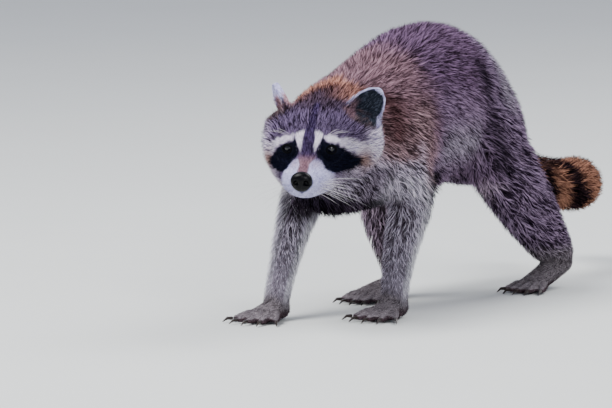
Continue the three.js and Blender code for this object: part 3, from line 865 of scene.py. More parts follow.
def lid_ring(sign):
    """Both lids of one eye: for each angle round the gaze, a strip on a ball about the eye, from the almond
    edge out to where the skin covers it. The edge stands off the eye and rolls in at its rim."""
    turns, steps = 56, 9
    turn = np.linspace(0, 2 * math.pi, turns, endpoint=False)[None, :]
    t = np.linspace(0, 1, steps)[:, None]
    off = np.radians(almond(turn) + (LID_OUTER - almond(turn)) * t ** 1.3)[..., None]
    radius = EYE_RADIUS + np.interp(t, [0, 0.06, 0.2, 0.5, 1], [0.1, 0.65, 0.9, 1.0, 0.9])[..., None]
    centre, gaze, along, over = eye_axes(sign)
    out = along * np.cos(turn)[..., None] + over * np.sin(turn)[..., None]
    v = (centre + radius * (gaze * np.cos(off) + out * np.sin(off))).reshape(-1, 3)
    tris = grid_faces(steps, turns)
    return v, oriented(v, tris, v - centre)


def thinned(mesh, plain, triangles):
    """The skin with fewer cells: the plain parts lose most of theirs, the fine parts few."""
    obj = linked("thinned", mesh)
    group = obj.vertex_groups.new(name="plain")
    group.add(np.nonzero(plain)[0].tolist(), 1.0, "REPLACE")
    group.add(np.nonzero(~plain)[0].tolist(), FINE_SKIN, "REPLACE")
    cut = obj.modifiers.new("fewer cells", "DECIMATE")
    cut.ratio = min(1.0, SKIN_TRIANGLES / triangles)
    cut.vertex_group = "plain"
    cut.vertex_group_factor = 1.0
    cut.use_collapse_triangulate = True
    return applied(obj)


def build_skin(context):
    """One surface over all the flesh: fused, smoothed, drawn in by the depth of the coat, then sculpted
    and thinned."""
    mesh = fused_flesh(context.scene.raccoon_shape.voxel)
    v, edges, tris = mesh_arrays(mesh)
    _, f, u = to_head(v)
    shares, depth, _, _ = line_shares(v)
    fine = share_of(shares, *EARS) + share_of(shares, *PAWS)
    amount = 1 - 0.75 * np.clip(fine, 0, 1) - 0.4 * ease(f, -20, 0) * np.clip(1 - fine, 0, 1)
    v = smoothed(v, edges, amount, 14)
    depth = depth * (1 - 0.5 * crown_share(f, u, shares[0]))
    for _ in range(10):
        depth = edges_mean(depth, edges, len(v))
    v = v - corner_normals(v, tris) * depth[:, None]
    v = smoothed(v, edges, amount * 0.8, 4)
    v = sockets_filled(v, edges)
    v = sculpted_face(v, corner_normals(v, tris))
    set_vertices(mesh, v)
    made = thinned(mesh, (f < -45) & (fine < 0.5), len(tris))
    v, edges, tris = mesh_arrays(made)
    bpy.data.meshes.remove(made)
    STATE["skin"] = (v, tris, corner_normals(v, tris))
    return STATE["skin"]


def mixed(mark, light):
    """A marking's dark hair and light hair mixed by the share of light."""
    return mark[:, :3] * (1 - light) + mark[:, 3:6] * light


def skin_colours(points, normals, colours):
    """The skin's colour: the coat's markings there, darkened as painted shade under the hairs, most of all
    where those are long."""
    shares, _, length, _ = line_shares(points)
    mark = markings(points, normals, shares, colours)
    # Painted shade: the skin darker under longer hair.
    return mixed(mark, mark[:, 6:7]) * (0.42 + 0.4 * ease(9 - length, 0, 6))[:, None]


# ---- the coat ---------------------------------------------------------------

def coat_of(shares, points):
    """The coat piece that each skin triangle belongs to: that of the middle line which rules it most."""
    rule = np.array(list(LINES))[shares.argmax(0)]
    _, f, _ = to_head(points)
    y = points[:, 1] - BODY_TO_PART[1]
    out = np.full(len(points), "coat_flanks", dtype="<U16")
    out[(rule == "trunk") & (y < 20)] = "coat_shoulders"
    out[(rule == "trunk") & (y > 112)] = "coat_rump"
    out[(rule == "neck") | ((rule == "trunk") & (y < -52))] = "coat_neck"
    out[np.isin(rule, FORELEGS)] = "coat_forelegs"
    out[np.isin(rule, HINDLEGS)] = "coat_hindlegs"
    out[np.isin(rule, PAWS)] = "coat_paws"
    out[rule == "tail"] = "coat_tail"
    out[np.isin(rule, ("head", *EARS))] = "coat_head"
    out[(rule == "head") & (f > -34)] = "coat_face"
    return out


def unwrapped(vertices, triangles):
    """Corner places of these skin triangles laid out flat in the unit square, as islands cut at their
    bends."""
    used, inverse = np.unique(triangles, return_inverse=True)
    mesh = mesh_of("layout", vertices[used], inverse.reshape(-1, 3))
    obj = linked("layout", mesh)
    bpy.context.view_layer.objects.active = obj
    obj.select_set(True)
    mesh.uv_layers.new(name="flat")
    bpy.ops.object.mode_set(mode="EDIT")
    bpy.ops.mesh.select_all(action="SELECT")
    bpy.ops.uv.smart_project(angle_limit=ISLAND_BEND, island_margin=ISLAND_GAP)
    bpy.ops.object.mode_set(mode="OBJECT")
    uv = np.empty(len(mesh.loops) * 2, np.float32)
    mesh.uv_layers["flat"].data.foreach_get("uv", uv)
    bpy.data.objects.remove(obj)
    bpy.data.meshes.remove(mesh)
    return uv.reshape(-1, 3, 2)


def sown(vertices, triangles, normals, weight, count, rng):
    """Roots spread over the skin: a triangle is drawn by its area times its weight, a point in it by two
    random numbers folded into the triangle. Returns the triangle drawn, its corner weights, the place and
    the normal."""
    p = vertices[triangles]
    area = np.linalg.norm(np.cross(p[:, 1] - p[:, 0], p[:, 2] - p[:, 0]), axis=1) * weight
    steps = np.cumsum(area)
    drawn = np.searchsorted(steps, (np.arange(count) + rng.random(count)) / count * steps[-1])
    drawn = np.minimum(drawn, len(triangles) - 1)
    a, b = rng.random(count), rng.random(count)
    fold = a + b > 1
    a, b = np.where(fold, 1 - a, a), np.where(fold, 1 - b, b)
    corner = np.stack([1 - a - b, a, b], 1)
    at = (p[drawn] * corner[..., None]).sum(1)
    normal = unit((normals[triangles[drawn]] * corner[..., None]).sum(1))
    return drawn, corner, at, normal


def skin_under(points):
    """The point of the skin nearest to each point: a loose cloud of points wrapped onto the skin."""
    mesh = bpy.data.meshes.new("cloud")
    mesh.vertices.add(len(points))
    set_vertices(mesh, points)
    cloud = linked("cloud", mesh)
    wrap = cloud.modifiers.new("onto the skin", "SHRINKWRAP")
    wrap.target = bpy.data.objects["skin"]
    wrap.wrap_method = "NEAREST_SURFACEPOINT"
    bpy.context.view_layer.update()
    found = vertices_of(cloud.evaluated_get(bpy.context.evaluated_depsgraph_get()).data)
    bpy.data.objects.remove(cloud)
    bpy.data.meshes.remove(mesh)
    return found


def at_height(points, height, normal):
    """Each point moved off or towards the skin until it stands at its height above it, by a way that is
    three quarters the straight way off the skin and one quarter the root's normal."""
    foot = skin_under(points)
    off = points - foot
    away = unit(off) * np.sign((off * normal).sum(1, keepdims=True))
    on_skin = np.linalg.norm(off, axis=1, keepdims=True) < 0.3
    away = unit(0.75 * np.where(on_skin, normal, away) + 0.25 * normal)
    return foot + away * height[:, None]


def tuft_arrays(root, normal, lie, length, width, rise, sway, rings, laid=True):
    """Tufts as thin three-sided horns. A tuft's middle line runs from the root along the lie and sways
    with the square of the way run, root + length * (t * lie + t * t * sway). It stands at a height of
    rise * (1.5 t - 0.5 t * t) over the skin under it if it is laid, and over that line if it isn't. Its
    width swells from the root and runs out to a point. Each is closed by a root triangle."""
    count = len(root)
    side = unit(np.cross(lie, normal))
    stops = {1: [0.0], 2: [0.0, 0.5], 3: [0.0, 0.33, 0.7]}[rings] + [1.0]
    swell = {1: [1.0], 2: [0.8, 1.0], 3: [0.7, 1.0, 0.7]}[rings]
    lines = [root]
    for t in stops[1:]:
        lift = rise * (1.5 * t - 0.5 * t * t)
        line = root + lie * (length * t)[:, None] + sway * (length * t * t)[:, None]
        lines.append(at_height(line, lift, normal) if laid else line + normal * lift[:, None])
    vertices = np.empty((count, 3 * rings + 1, 3))
    for r in range(rings):
        w = (width * swell[r])[:, None]
        vertices[:, 3 * r] = lines[r] - side * w * 0.5
        vertices[:, 3 * r + 1] = lines[r] + side * w * 0.5
        vertices[:, 3 * r + 2] = lines[r] + normal * w * 0.42
    vertices[:, -1] = lines[-1]
    faces = [(0, 2, 1)]
    for r in range(rings - 1):
        for k in range(3):
            a, b = 3 * r + k, 3 * r + (k + 1) % 3
            faces += [(a, b, b + 3), (a, b + 3, a + 3)]
    last, tip = 3 * (rings - 1), 3 * rings
    faces += [(last, last + 1, tip), (last + 1, last + 2, tip), (last + 2, last, tip)]
    faces = np.array(faces)
    one = vertices[0]
    if np.einsum("ij,ij->i", one[faces[:, 0]] - one[0],
                 np.cross(one[faces[:, 1]] - one[0], one[faces[:, 2]] - one[0])).sum() < 0:
        faces = faces[:, ::-1]
    triangles = (faces[None] + (np.arange(count) * (3 * rings + 1))[:, None, None]).reshape(-1, 3)
    along = np.repeat(np.array(stops), [3] * rings + [1])
    return vertices.reshape(-1, 3), triangles, along


def tuft_patches(at, rings):
    """Bake places: each tuft is a patch centred on its root's place in the layout, its rings one above
    another."""
    across = [v for _ in range(rings) for v in (-PATCH / 2, PATCH / 2, 0.0)] + [0.0]
    upward = [v + r * PATCH / rings for r in range(rings) for v in (0, 0, PATCH / 6)] + [PATCH]
    patch = np.stack([across, np.array(upward) - PATCH / 2], 1)
    return np.clip(at[:, None] + patch[None], 0, 1).reshape(-1, 2)


def gathered(root, tip_shift, size, seed):
    """Pulls the tips of neighbouring tufts together: each heads for the mean of its cell, a cube of about
    `size` whose walls wander."""
    cell = np.floor((root + ripple(root, size * 3, seed)[:, None] * size * 0.25) / size).astype(np.int64)
    a, b, c = (cell * CELL_PRIMES).T
    _, group = np.unique(a ^ b ^ c, return_inverse=True)
    group = group.ravel()
    number = np.bincount(group)
    mean = np.stack([np.bincount(group, root[:, axis]) / number for axis in range(3)], 1)
    return (mean[group] - root) * tip_shift[:, None]


def coat_weight(points, name):
    """How thickly hair grows at each place: nowhere on the nose, in the eyes' openings or under the paws."""
    _, f, _ = to_head(points)
    weight = np.ones(len(points))
    if name == "coat_face":
        nose = np.linalg.norm(points - from_head(NOSE_BARE)[0], axis=1)
        weight *= ease(nose, 9, 11)
        weight *= 1 + 1.2 * ease(f, -30, 0)
        for sign in (1, -1):
            distance, _, off, openings = eye_reach(points, sign)
            weight *= np.where((distance < 16) & (off < 90), ease(openings, 1.2, 1.45), 1)
    if name == "coat_paws":
        weight *= ease(points[:, 2], 2, 5)
    return weight


def skin_of(name):
    """The skin triangles that a coat piece grows from, and how thickly it grows on each."""
    v, tris, _ = STATE["skin"]
    if "piece" not in STATE:
        middle = v[tris].mean(1)
        STATE["piece"] = coat_of(line_shares(middle)[0], middle)
    mine = tris[STATE["piece"] == name]
    weight = coat_weight(v[mine].mean(1), name)
    keep = weight > 0.01
    return mine[keep], weight[keep]


def hair_lie(lie, root, normal, rng):
    """The way each tuft lies: the body's, turned by a slow ripple and at random, then laid along the skin."""
    lie = lie + 0.10 * np.stack([ripple(root, 30, 71 + k) for k in range(3)], 1)
    lie = lie + 0.13 * rng.normal(size=lie.shape)
    return unit(lie - normal * (lie * normal).sum(1, keepdims=True))


def hair_sizes(root, normal, shares, depth, length):
    """The length of the hairs, the depth of the coat and how far it stands off beside that depth, where
    the middle lines alone don't give them: on the crown, the brow, behind the elbow and on the chest."""
    l, f, u = to_head(root)
    _, y, z = (root - BODY_TO_PART).T
    head = shares[0]
    crown = crown_share(f, u, head)
    brow = head * near(np.abs(l), 34, 16) * near(u, 10, 9) * ease(f, -40, -24)
    elbow = elbow_share(root, normal, 14)
    chest = near(y, -95, 34) * near(z, 124, 22) * ease(-normal[:, 2], 0, 0.6)
    length = length * (1 - 0.6 * crown) * (1 + 0.15 * brow + 0.35 * elbow + 0.25 * chest)
    return length, depth * (1 - 0.45 * crown), 1 + 1.3 * elbow + 0.8 * chest


def hair_colours(mark, root, length, rng):
    """The colour of each tuft, the colour at its root and the shade of its tip. A tuft is light or dark by
    chance, as the marking's share of light hairs and slow patches have it. Among long hair the patches run
    back and down. Under long hair the root is half the dark hair's colour: the underfur's darker colour
    and painted shade deep in the coat. Short hair keeps most of its colour down to the root."""
    count = len(root)
    flow = np.array([0, 0.8, -0.6])
    across = root - 0.85 * (root @ flow)[:, None] * flow
    long = ease(length, 12, 20)
    short = ease(9 - length, 0, 6)[:, None]
    patch = (0.5 * (1 - long) * ripple(root, 7, 21) + 0.35 * ripple(root, 16, 22)
             + 0.9 * long * ripple(across, 7, 23))
    light = (rng.random(count) < np.clip(mark[:, 6] + 0.16 * patch, 0.04, 0.96)).astype(float)
    light = np.clip(light + rng.normal(0, 0.16, count), 0, 1)[:, None]
    body = mixed(mark, light) * np.exp(rng.normal(0, 0.14, count))[:, None]
    mean = mixed(mark, mark[:, 6:7])
    # Under long hair the root is half the dark hair's colour: the underfur's darker colour and painted shade
    # deep in the coat.
    deep = mark[:, :3] * 0.5 * (1 - short) + (0.3 * mean + 0.5 * body) * short
    tip = np.where(rng.random(count) < 0.45, rng.uniform(0.25, 0.6, count), rng.uniform(1.0, 1.35, count))
    tip = 1 + (tip - 1) * (1 - 0.75 * short[:, 0])
    return np.clip(body, 0, 1), np.clip(deep, 0, 1), tip


def coat_piece(name, context):
    """Grows one piece of the coat: the roots of its tufts, their lie, sizes, colours and bake places."""
    shape, colours = context.scene.raccoon_shape, context.scene.raccoon_colours
    setting = COATS[name]
    rng = np.random.default_rng(setting["seed"])
    v, _, normals = STATE["skin"]
    mine, weight = skin_of(name)
    count = int(setting["count"] * shape.thickness)
    drawn, corner, root, normal = sown(v, mine, normals, weight, count, rng)
    shares, depth, length, lie = line_shares(root)
    lie = hair_lie(lie, root, normal, rng)
    length, depth, stand = hair_sizes(root, normal, shares, depth, length)
    length = length * rng.uniform(0.62, 1.12, count)
    rise = depth * shape.fullness * rng.uniform(0.6, 1.08, count) * stand
    rise = np.minimum(rise, length * 0.8)
    flat = np.sqrt(np.maximum(length ** 2 - rise ** 2, (0.3 * length) ** 2))
    width = setting["width"] * rng.uniform(0.7, 1.25, count) * np.clip(length / 16, 0.55, 1.1)
    sway = 0.10 * rng.normal(size=(count, 3))
    pull = gathered(root, np.where(length > 9, 0.2, 0.1), np.clip(length.mean() * 0.28, 2.5, 9), 5)
    sway = sway + pull / np.maximum(flat, 1)[:, None]
    vertices, triangles, along = tuft_arrays(root - normal * ROOT_DEPTH, normal, lie, flat, width, rise, sway,
                                             setting["rings"])
    if name == "coat_paws":
        vertices[:, 2] = np.maximum(vertices[:, 2], FLOOR_GAP)
    seen_at = root + lie * (flat * 0.75)[:, None] + normal * (rise * 0.9)[:, None]
    mark = markings(seen_at, normal, line_shares(seen_at)[0], colours)
    body, deep, tip = hair_colours(mark, root, length, rng)
    k = np.repeat(np.arange(count), len(along))
    place_uv = (unwrapped(v, mine)[drawn] * corner[..., None]).sum(1)
    return mesh_of(name, vertices, triangles, {"coat_colour": body[k], "root_colour": deep[k]},
                   {"along": np.tile(along, count), "tip_shade": tip[k]},
                   tuft_patches(place_uv, setting["rings"]))


# ---- materials --------------------------------------------------------------

ROOT_BAND = (0.15, 0.6)  # shares of a hair's length over which its root's colour gives way to its own
TIP_BAND = (0.72, 0.95)  # and its own to its tip's
BUMP_DEPTH = 0.0006


def group_of(name, inputs, outputs):
    """An empty shader node group with these named inputs and outputs."""
    old = bpy.data.node_groups.get(name)
    if old is not None:
        bpy.data.node_groups.remove(old)
    group = bpy.data.node_groups.new(name, "ShaderNodeTree")
    for label, kind, default in inputs:
        socket = group.interface.new_socket(label, in_out="INPUT", socket_type=kind)
        socket.default_value = default
    for label, kind in outputs:
        group.interface.new_socket(label, in_out="OUTPUT", socket_type=kind)
    return group, group.nodes.new("NodeGroupInput"), group.nodes.new("NodeGroupOutput")


def worked_out(group, operation, *terms):
    """A math node on these terms, each a number or another node's output. Returns its own output."""
    node = group.nodes.new("ShaderNodeMath")
    node.operation = operation
    for socket, term in zip(node.inputs, terms):
        if isinstance(term, (int, float)):
            socket.default_value = term
        else:
            group.links.new(term, socket)
    return node.outputs[0]


def scaled(group, colour, factor):
    """A colour times a factor, both outputs of other nodes."""
    node = group.nodes.new("ShaderNodeVectorMath")
    node.operation = "SCALE"
    group.links.new(colour, node.inputs[0])
    group.links.new(factor, node.inputs["Scale"])
    return node.outputs[0]


def blended(group, factor, first, second):
    """Two colours mixed, all outputs of other nodes."""
    node = group.nodes.new("ShaderNodeMix")
    node.data_type = "RGBA"
    group.links.new(factor, node.inputs["Factor"])
    group.links.new(first, node.inputs["A"])
    group.links.new(second, node.inputs["B"])
    return node.outputs["Result"]


def mottle_group():
    """Colour times 1 + 3 * amount * (noise - 0.5), the noise standing on object coordinates."""
    group, given, out = group_of("Mottle", [("Colour", "NodeSocketColor", (0.5, 0.5, 0.5, 1)),
                                            ("Size", "NodeSocketFloat", 60.0),
                                            ("Amount", "NodeSocketFloat", 0.25)],
                                 [("Colour", "NodeSocketColor"), ("Height", "NodeSocketFloat")])
    nodes, links = group.nodes, group.links
    at = nodes.new("ShaderNodeTexCoord")
    noise = nodes.new("ShaderNodeTexNoise")
    noise.inputs["Detail"].default_value = 6
    noise.inputs["Roughness"].default_value = 0.65
    links.new(at.outputs["Object"], noise.inputs["Vector"])
    links.new(given.outputs["Size"], noise.inputs["Scale"])
    centred = worked_out(group, "SUBTRACT", noise.outputs["Fac"], 0.5)
    strength = worked_out(group, "MULTIPLY", given.outputs["Amount"], 3.0)
    factor = worked_out(group, "MULTIPLY_ADD", centred, strength, 1.0)
    links.new(scaled(group, given.outputs["Colour"], factor), out.inputs["Colour"])
    links.new(noise.outputs["Fac"], out.inputs["Height"])
    return group


def bands_group():
    """A hair's colour along its length: its root's, then its own, then its own times the shade of its tip."""
    group, given, out = group_of("Hair bands", [("Root", "NodeSocketColor", (0.1, 0.1, 0.1, 1)),
                                                ("Middle", "NodeSocketColor", (0.5, 0.5, 0.5, 1)),
                                                ("Along", "NodeSocketFloat", 0.5),
                                                ("Tip shade", "NodeSocketFloat", 1.0)],
                                 [("Colour", "NodeSocketColor")])
    rises = []
    for low, high in (ROOT_BAND, TIP_BAND):
        rise = group.nodes.new("ShaderNodeMapRange")
        rise.interpolation_type = "SMOOTHSTEP"
        rise.inputs["From Min"].default_value = low
        rise.inputs["From Max"].default_value = high
        group.links.new(given.outputs["Along"], rise.inputs["Value"])
        rises.append(rise.outputs["Result"])
    body = blended(group, rises[0], given.outputs["Root"], given.outputs["Middle"])
    tip = scaled(group, given.outputs["Middle"], given.outputs["Tip shade"])
    group.links.new(blended(group, rises[1], body, tip), out.inputs["Colour"])
    return group


def material_of(name, roughness, mottle, colour=None, attribute=None, banded=False, bump=0.0,
                bump_size=900.0, **sockets):
    """A Principled material whose base colour is a colour or an attribute, mottled by noise of the first
    number's size and the second's amount, with a fine bump if one is asked for."""
    old = bpy.data.materials.get(name)
    if old is not None:
        bpy.data.materials.remove(old)
    material = bpy.data.materials.new(name)
    material.use_nodes = True
    nodes, links = material.node_tree.nodes, material.node_tree.links
    shader = nodes["Principled BSDF"]
    shader.inputs["Roughness"].default_value = roughness
    for key, value in sockets.items():
        shader.inputs[key.replace("_", " ")].default_value = value
    varied = nodes.new("ShaderNodeGroup")
    varied.node_tree = bpy.data.node_groups.get("Mottle") or mottle_group()
    varied.inputs["Size"].default_value = mottle[0]
    varied.inputs["Amount"].default_value = mottle[1]
    if banded:
        bands = nodes.new("ShaderNodeGroup")
        bands.node_tree = bpy.data.node_groups.get("Hair bands") or bands_group()
        for label, key, output in (("Root", "root_colour", "Color"), ("Middle", attribute, "Color"),
                                   ("Along", "along", "Fac"), ("Tip shade", "tip_shade", "Fac")):
            reader = nodes.new("ShaderNodeAttribute")
            reader.attribute_name = key
            links.new(reader.outputs[output], bands.inputs[label])
        links.new(bands.outputs["Colour"], varied.inputs["Colour"])
    elif attribute:
        reader = nodes.new("ShaderNodeAttribute")
        reader.attribute_name = attribute
        links.new(reader.outputs["Color"], varied.inputs["Colour"])
    else:
        varied.inputs["Colour"].default_value = (*colour, 1)
    links.new(varied.outputs["Colour"], shader.inputs["Base Color"])
    if bump:
        noise = nodes.new("ShaderNodeTexNoise")
        noise.inputs["Scale"].default_value = bump_size
        noise.inputs["Detail"].default_value = 3
        at = nodes.new("ShaderNodeTexCoord")
        links.new(at.outputs["Object"], noise.inputs["Vector"])
        relief = nodes.new("ShaderNodeBump")
        relief.inputs["Strength"].default_value = bump
        relief.inputs["Distance"].default_value = BUMP_DEPTH
        links.new(noise.outputs["Fac"], relief.inputs["Height"])
        links.new(relief.outputs["Normal"], shader.inputs["Normal"])
    return material


# ---- face pieces, claws -----------------------------------------------------

def eyeball(sign):
    """An eye as a ball round its gaze: a radius, and a low bell at the front of it for the cornea. Also the
    degrees of each vertex off the gaze."""
    polar, angle, tris = ball_grid(40, 48)
    centre, gaze, across, up = eye_axes(sign)
    ball = EYE_RADIUS - EYE_PLAY
    radius = ball + CORNEA_RISE * np.exp(-((np.degrees(polar) / 20) ** 4)) + 0 * angle
    way = (gaze * np.cos(polar)[..., None] + across * (np.sin(polar) * np.cos(angle))[..., None]
           + up * (np.sin(polar) * np.sin(angle))[..., None])
    rings = (centre + way * radius[..., None]).reshape(-1, 3)
    poles = [centre + gaze * (ball + CORNEA_RISE), centre - gaze * ball]
    v = np.concatenate([rings, poles])
    degrees = np.concatenate([np.repeat(np.degrees(polar[:, 0]), angle.size), [0, 180]])
    return v, oriented(v, tris, v - centre), degrees


def eye_colours(degrees):
    """The pupil, the iris and the rest of the ball, by degrees off the gaze."""
    past_pupil = ease(degrees, *PUPIL_EDGE)[:, None]
    white = ease(degrees, *IRIS_EDGE)[:, None]
    iris = past_pupil * (1 - white)
    pupil_colour, iris_colour, white_colour = (np.array(linear(*c)) for c in EYE_COLOURS)
    return pupil_colour * (1 - iris - white) + iris_colour * iris + white_colour * white


def nose_pad():
    """The nose leather: a flattened ball whose front is cut flatter, with two comma-shaped nostrils that
    run out to slits at the sides, and a groove down the middle."""
    polar, angle, tris = ball_grid(60, 84)
    l = np.sin(polar) * np.cos(angle)
    u = np.sin(polar) * np.sin(angle)
    f = np.cos(polar) + 0 * angle
    across = l * NOSE_WIDE * (1 + 0.08 * u)
    above = u * np.where(u > 0, NOSE_ABOVE, NOSE_BELOW)
    dent = 0.8 * near(across, 0, 0.9) * ease(-above, -2, 3)
    for sign in (1, -1):
        hole = ((across - sign * 5.0) / 2.4) ** 2 + ((above + 0.4) / 2.4) ** 2
        slit = ((across - sign * 8.2) / 3.0) ** 2 + ((above + 2.4) / 1.0) ** 2
        dent += 3.6 * np.exp(-hole ** 1.5) + 2.0 * np.exp(-slit ** 1.3)
    ahead = np.sign(f) * np.abs(f) ** 0.8 * NOSE_DEEP - dent * ease(f, 0.0, 0.35)
    rings = np.stack([across, ahead, above], -1).reshape(-1, 3)
    poles = [(0, NOSE_DEEP - 0.3, 0), (0, -NOSE_DEEP, 0)]
    v = from_head(np.concatenate([rings, poles]) + NOSE_AT)
    return v, oriented(v, tris, v - from_head(NOSE_INSIDE)[0])


def whiskers(length, seed=41):
    """Bristles in rows on the whisker pads and three over each eye: thin three-sided horns that bow out,
    back and down."""
    rng = np.random.default_rng(seed)
    roots, ways, sizes = list(WHISKER_ROOTS), [], []
    for i, (side, _, _) in enumerate(WHISKER_ROOTS):
        row, k = i // WHISKERS_IN_ROW % WHISKER_ROWS, i % WHISKERS_IN_ROW
        ways.append((math.copysign(1.0, side), 0.25 - 0.22 * k + rng.normal(0, 0.06),
                     0.14 - 0.16 * row + rng.normal(0, 0.05)))
        sizes.append(rng.uniform(0.5, 1.0) * (0.75 + 0.1 * k))
    for sign in (1, -1):
        for k in range(3):
            roots.append((sign * (20 + 2.4 * k), -14, 12))
            ways.append((sign * (0.5 + 0.3 * k), 0.55, 0.55))
            sizes.append(0.45)
    root = from_head(roots)
    way = head_way(ways)
    size = np.array(sizes) * length
    sag = np.tile(np.array([0, 0.12, -0.22]), (len(root), 1))
    normal = unit(np.cross(way, np.cross(-DOWN, way)))
    width = np.full(len(root), 0.6)
    v, tris, _ = tuft_arrays(root, normal, way, size, width, size * 0.02, sag, rings=3, laid=False)
    return v, tris


# ---- operators --------------------------------------------------------------

COAT_SLOTS = {"coat_face": "face_fur", "coat_head": "face_fur", "coat_tail": "tail_fur", "coat_paws": "paw"}

# Screen colour numbers of what isn't fur.
EYE_COLOURS = ((4, 5, 12), (14, 15, 28), (8, 7, 12))  # pupil, iris, rest of the ball
LID_COLOUR = (3, 3, 4)
NOSE_COLOUR = (1, 1, 3)
WHISKER_COLOUR = (205, 200, 205)
CLAW_COLOUR = (44, 36, 34)
FLOOR_COLOUR = (206, 208, 204)

# The stage, in metres and watts.
FLOOR_CORNERS = [(-9, -9, 0), (9, -9, 0), (9, 12, 0), (-9, 12, 0)]
LAMPS = {"key": dict(at=(-0.9, -1.9, 3.0), size=1.8, power=190),
         "fill": dict(at=(2.8, -2.2, 1.9), size=0.9, power=60),
         "back": dict(at=(1.0, 2.2, 2.8), size=1.8, power=95)}
LAMPS_FACE = HEAD_AT * TO_METRES + np.array([0, 0.2, 0])
DAYLIGHT = (0.80, 0.84, 1.0, 1)
DAYLIGHT_STRENGTH = 0.85

# The camera, in millimetres.
CAMERA_AZIMUTH = math.radians(33)
CAMERA_ELEVATION = math.radians(6)
CAMERA_DISTANCE = 5000.0
VIEW_WIDTH = 612  # across the view at the head
VIEW_CENTRE = (-1.4, -54.6)  # to the right of the point between the eyes, and above it
SENSOR = 36


def lay_floor():
    """A plain floor that reaches well past the view."""
    mesh = bpy.data.meshes.new("floor")
    mesh.from_pydata(FLOOR_CORNERS, [], [(0, 1, 2, 3)])
    floor = linked("floor", mesh)
    floor.data.materials.append(material_of("Floor", 0.8, mottle=(3.0, 0.02), colour=linear(*FLOOR_COLOUR)))


def hang_lights(scene):
    """Soft daylight from all round and three broad lamps that face the animal."""
    world = bpy.data.worlds.new("Soft daylight")
    world.use_nodes = True
    sky = world.node_tree.nodes["Background"]
    sky.inputs["Color"].default_value = DAYLIGHT
    sky.inputs["Strength"].default_value = DAYLIGHT_STRENGTH
    scene.world = world
    for name, setting in LAMPS.items():
        lamp = bpy.data.lights.new(name, "AREA")
        lamp.size = setting["size"]
        lamp.energy = setting["power"]
        obj = linked(name, lamp)
        obj.location = setting["at"]
        away = Vector(setting["at"]) - Vector(LAMPS_FACE)
        obj.rotation_euler = away.to_track_quat("Z", "Y").to_euler()


def set_camera(scene):
    """A long lens far off and a little above the head, aimed so that the whole animal is seen."""
    level = math.cos(CAMERA_ELEVATION)
    back = np.array([math.sin(CAMERA_AZIMUTH) * level, -math.cos(CAMERA_AZIMUTH) * level,
                     math.sin(CAMERA_ELEVATION)])
    right = np.array([math.cos(CAMERA_AZIMUTH), math.sin(CAMERA_AZIMUTH), 0])
    up = np.cross(back, right)
    at = HEAD_AT + back * CAMERA_DISTANCE + right * VIEW_CENTRE[0] + up * VIEW_CENTRE[1]
    turned = np.column_stack([right, up, back, at * TO_METRES])
    lens = bpy.data.cameras.new("camera")
    lens.lens = SENSOR * CAMERA_DISTANCE / VIEW_WIDTH
    lens.sensor_width = SENSOR
    lens.clip_end = 60
    camera = linked("camera", lens)
    camera.matrix_world = Matrix(np.vstack([turned, [0, 0, 0, 1]]).tolist())
    scene.camera = camera


class RACCOON_OT_skin(bpy.types.Operator):
    """Make the skin over all the flesh, with the eyelids"""
    bl_idname = "raccoon.skin"
    bl_label = "Skin"

    def execute(self, context):
        v, tris, normals = build_skin(context)
        parts, faces, count = [v], [tris], len(v)
        for sign in (1, -1):
            lid, lid_tris = lid_ring(sign)
            parts.append(lid)
            faces.append(lid_tris + count)
            count += len(lid)
        colour = skin_colours(v, normals, context.scene.raccoon_colours)
        lids = np.tile(linear(*LID_COLOUR), (count - len(v), 1))
        mesh = mesh_of("skin", np.concatenate(parts), np.concatenate(faces),
                       {"coat_colour": np.concatenate([colour, lids])})
        material = material_of("Skin", 0.7, mottle=(300.0, 0.25), attribute="coat_colour", bump=0.5,
                               bump_size=1400.0, Specular_IOR_Level=0.06)
        obj = place("skin", mesh, material, "coat")
        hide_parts(*FLESH)
        return {"FINISHED"}


class RACCOON_OT_coat(bpy.types.Operator):
    """Grow the coat piece by piece over the skin"""
    bl_idname = "raccoon.coat"
    bl_label = "Coat"

    def execute(self, context):
        if "skin" not in STATE:
            raise RuntimeError("make the skin before the coat")
        fur = material_of("Coat hairs", 0.7, mottle=(240.0, 0.12), attribute="coat_colour", banded=True,
                          Specular_IOR_Level=0.0)
        for name in COATS:
            place(name, coat_piece(name, context), fur, COAT_SLOTS.get(name, "coat"))
        return {"FINISHED"}


class RACCOON_OT_face(bpy.types.Operator):
    """Make the eyes, the nose and the whiskers"""
    bl_idname = "raccoon.face"
    bl_label = "Eyes, nose and whiskers"

    def execute(self, context):
        eye = material_of("Eye", 0.05, mottle=(900.0, 0.1), attribute="eye_colour",
                          Specular_IOR_Level=0.45)
        for sign, node in ((1, "eye_left"), (-1, "eye_right")):
            v, tris, degrees = eyeball(sign)
            mesh = mesh_of(node, v, tris, {"eye_colour": eye_colours(degrees)})
            obj = place(f"{node}_ball", mesh, eye, "eye")
            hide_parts(node)
        leather = material_of("Nose leather", 0.2, mottle=(500.0, 0.3), colour=linear(*NOSE_COLOUR),
                              bump=0.35, bump_size=1500.0, Specular_IOR_Level=0.12)
        v, tris = nose_pad()
        obj = place("nose_pad", mesh_of("nose_pad", v, tris), leather, "nose")
        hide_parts("nose")
        bristle = material_of("Whisker", 0.4, mottle=(90.0, 0.1), colour=linear(*WHISKER_COLOUR),
                              Specular_IOR_Level=0.5)
        v, tris = whiskers(context.scene.raccoon_shape.whisker * TO_MM)
        place("whiskers", mesh_of("whiskers", v, tris), bristle, "face_fur")
        return {"FINISHED"}


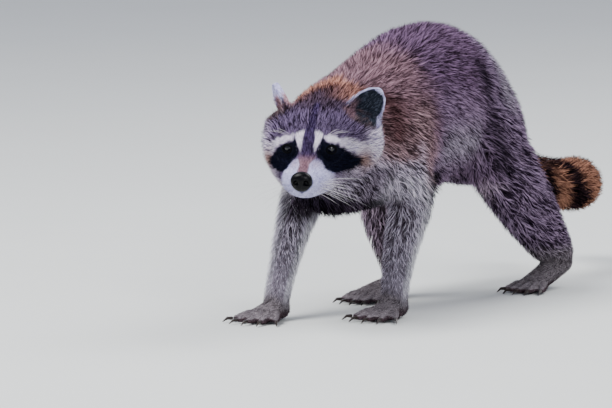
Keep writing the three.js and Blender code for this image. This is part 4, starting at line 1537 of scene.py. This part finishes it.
class RACCOON_OT_claws(bpy.types.Operator):
    """Give the claws their horn"""
    bl_idname = "raccoon.claws"
    bl_label = "Claws"

    def execute(self, context):
        horn = material_of("Claw horn", 0.35, mottle=(260.0, 0.3), colour=linear(*CLAW_COLOUR), bump=0.3,
                           bump_size=700.0, Specular_IOR_Level=0.5)
        for name in CLAWS:
            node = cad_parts[name]
            node.data.materials.clear()
            node.data.materials.append(horn)
        return {"FINISHED"}


class RACCOON_OT_stage(bpy.types.Operator):
    """Lay the floor, hang the lights and set the camera"""
    bl_idname = "raccoon.stage"
    bl_label = "Stage"

    def execute(self, context):
        lay_floor()
        hang_lights(context.scene)
        set_camera(context.scene)
        return {"FINISHED"}


class RACCOON_PT_panel(bpy.types.Panel):
    """Settings and steps of the raccoon"""
    bl_idname = "RACCOON_PT_panel"
    bl_label = "Raccoon"
    bl_space_type = "VIEW_3D"
    bl_region_type = "UI"
    bl_category = "Raccoon"

    def draw(self, context):
        layout = self.layout
        for key in RaccoonShape.__annotations__:
            layout.prop(context.scene.raccoon_shape, key)
        for kind in OPERATORS:
            layout.operator(kind.bl_idname)
        for key in RaccoonColours.__annotations__:
            layout.prop(context.scene.raccoon_colours, key)


OPERATORS = (RACCOON_OT_skin, RACCOON_OT_face, RACCOON_OT_claws, RACCOON_OT_coat, RACCOON_OT_stage)
CLASSES = (RaccoonColours, RaccoonShape, *OPERATORS, RACCOON_PT_panel)


def register():
    """Makes the settings, the steps and the panel known to Blender."""
    for kind in CLASSES:
        bpy.utils.register_class(kind)
    bpy.types.Scene.raccoon_colours = bpy.props.PointerProperty(type=RaccoonColours)
    bpy.types.Scene.raccoon_shape = bpy.props.PointerProperty(type=RaccoonShape)


def unregister():
    """Takes them away again."""
    del bpy.types.Scene.raccoon_shape
    del bpy.types.Scene.raccoon_colours
    for kind in reversed(CLASSES):
        bpy.utils.unregister_class(kind)


def main():
    """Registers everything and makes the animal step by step."""
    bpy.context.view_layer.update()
    register()
    bpy.ops.raccoon.skin()
    bpy.ops.raccoon.face()
    bpy.ops.raccoon.claws()
    bpy.ops.raccoon.coat()
    bpy.ops.raccoon.stage()


if __name__ == "__main__":
    main()
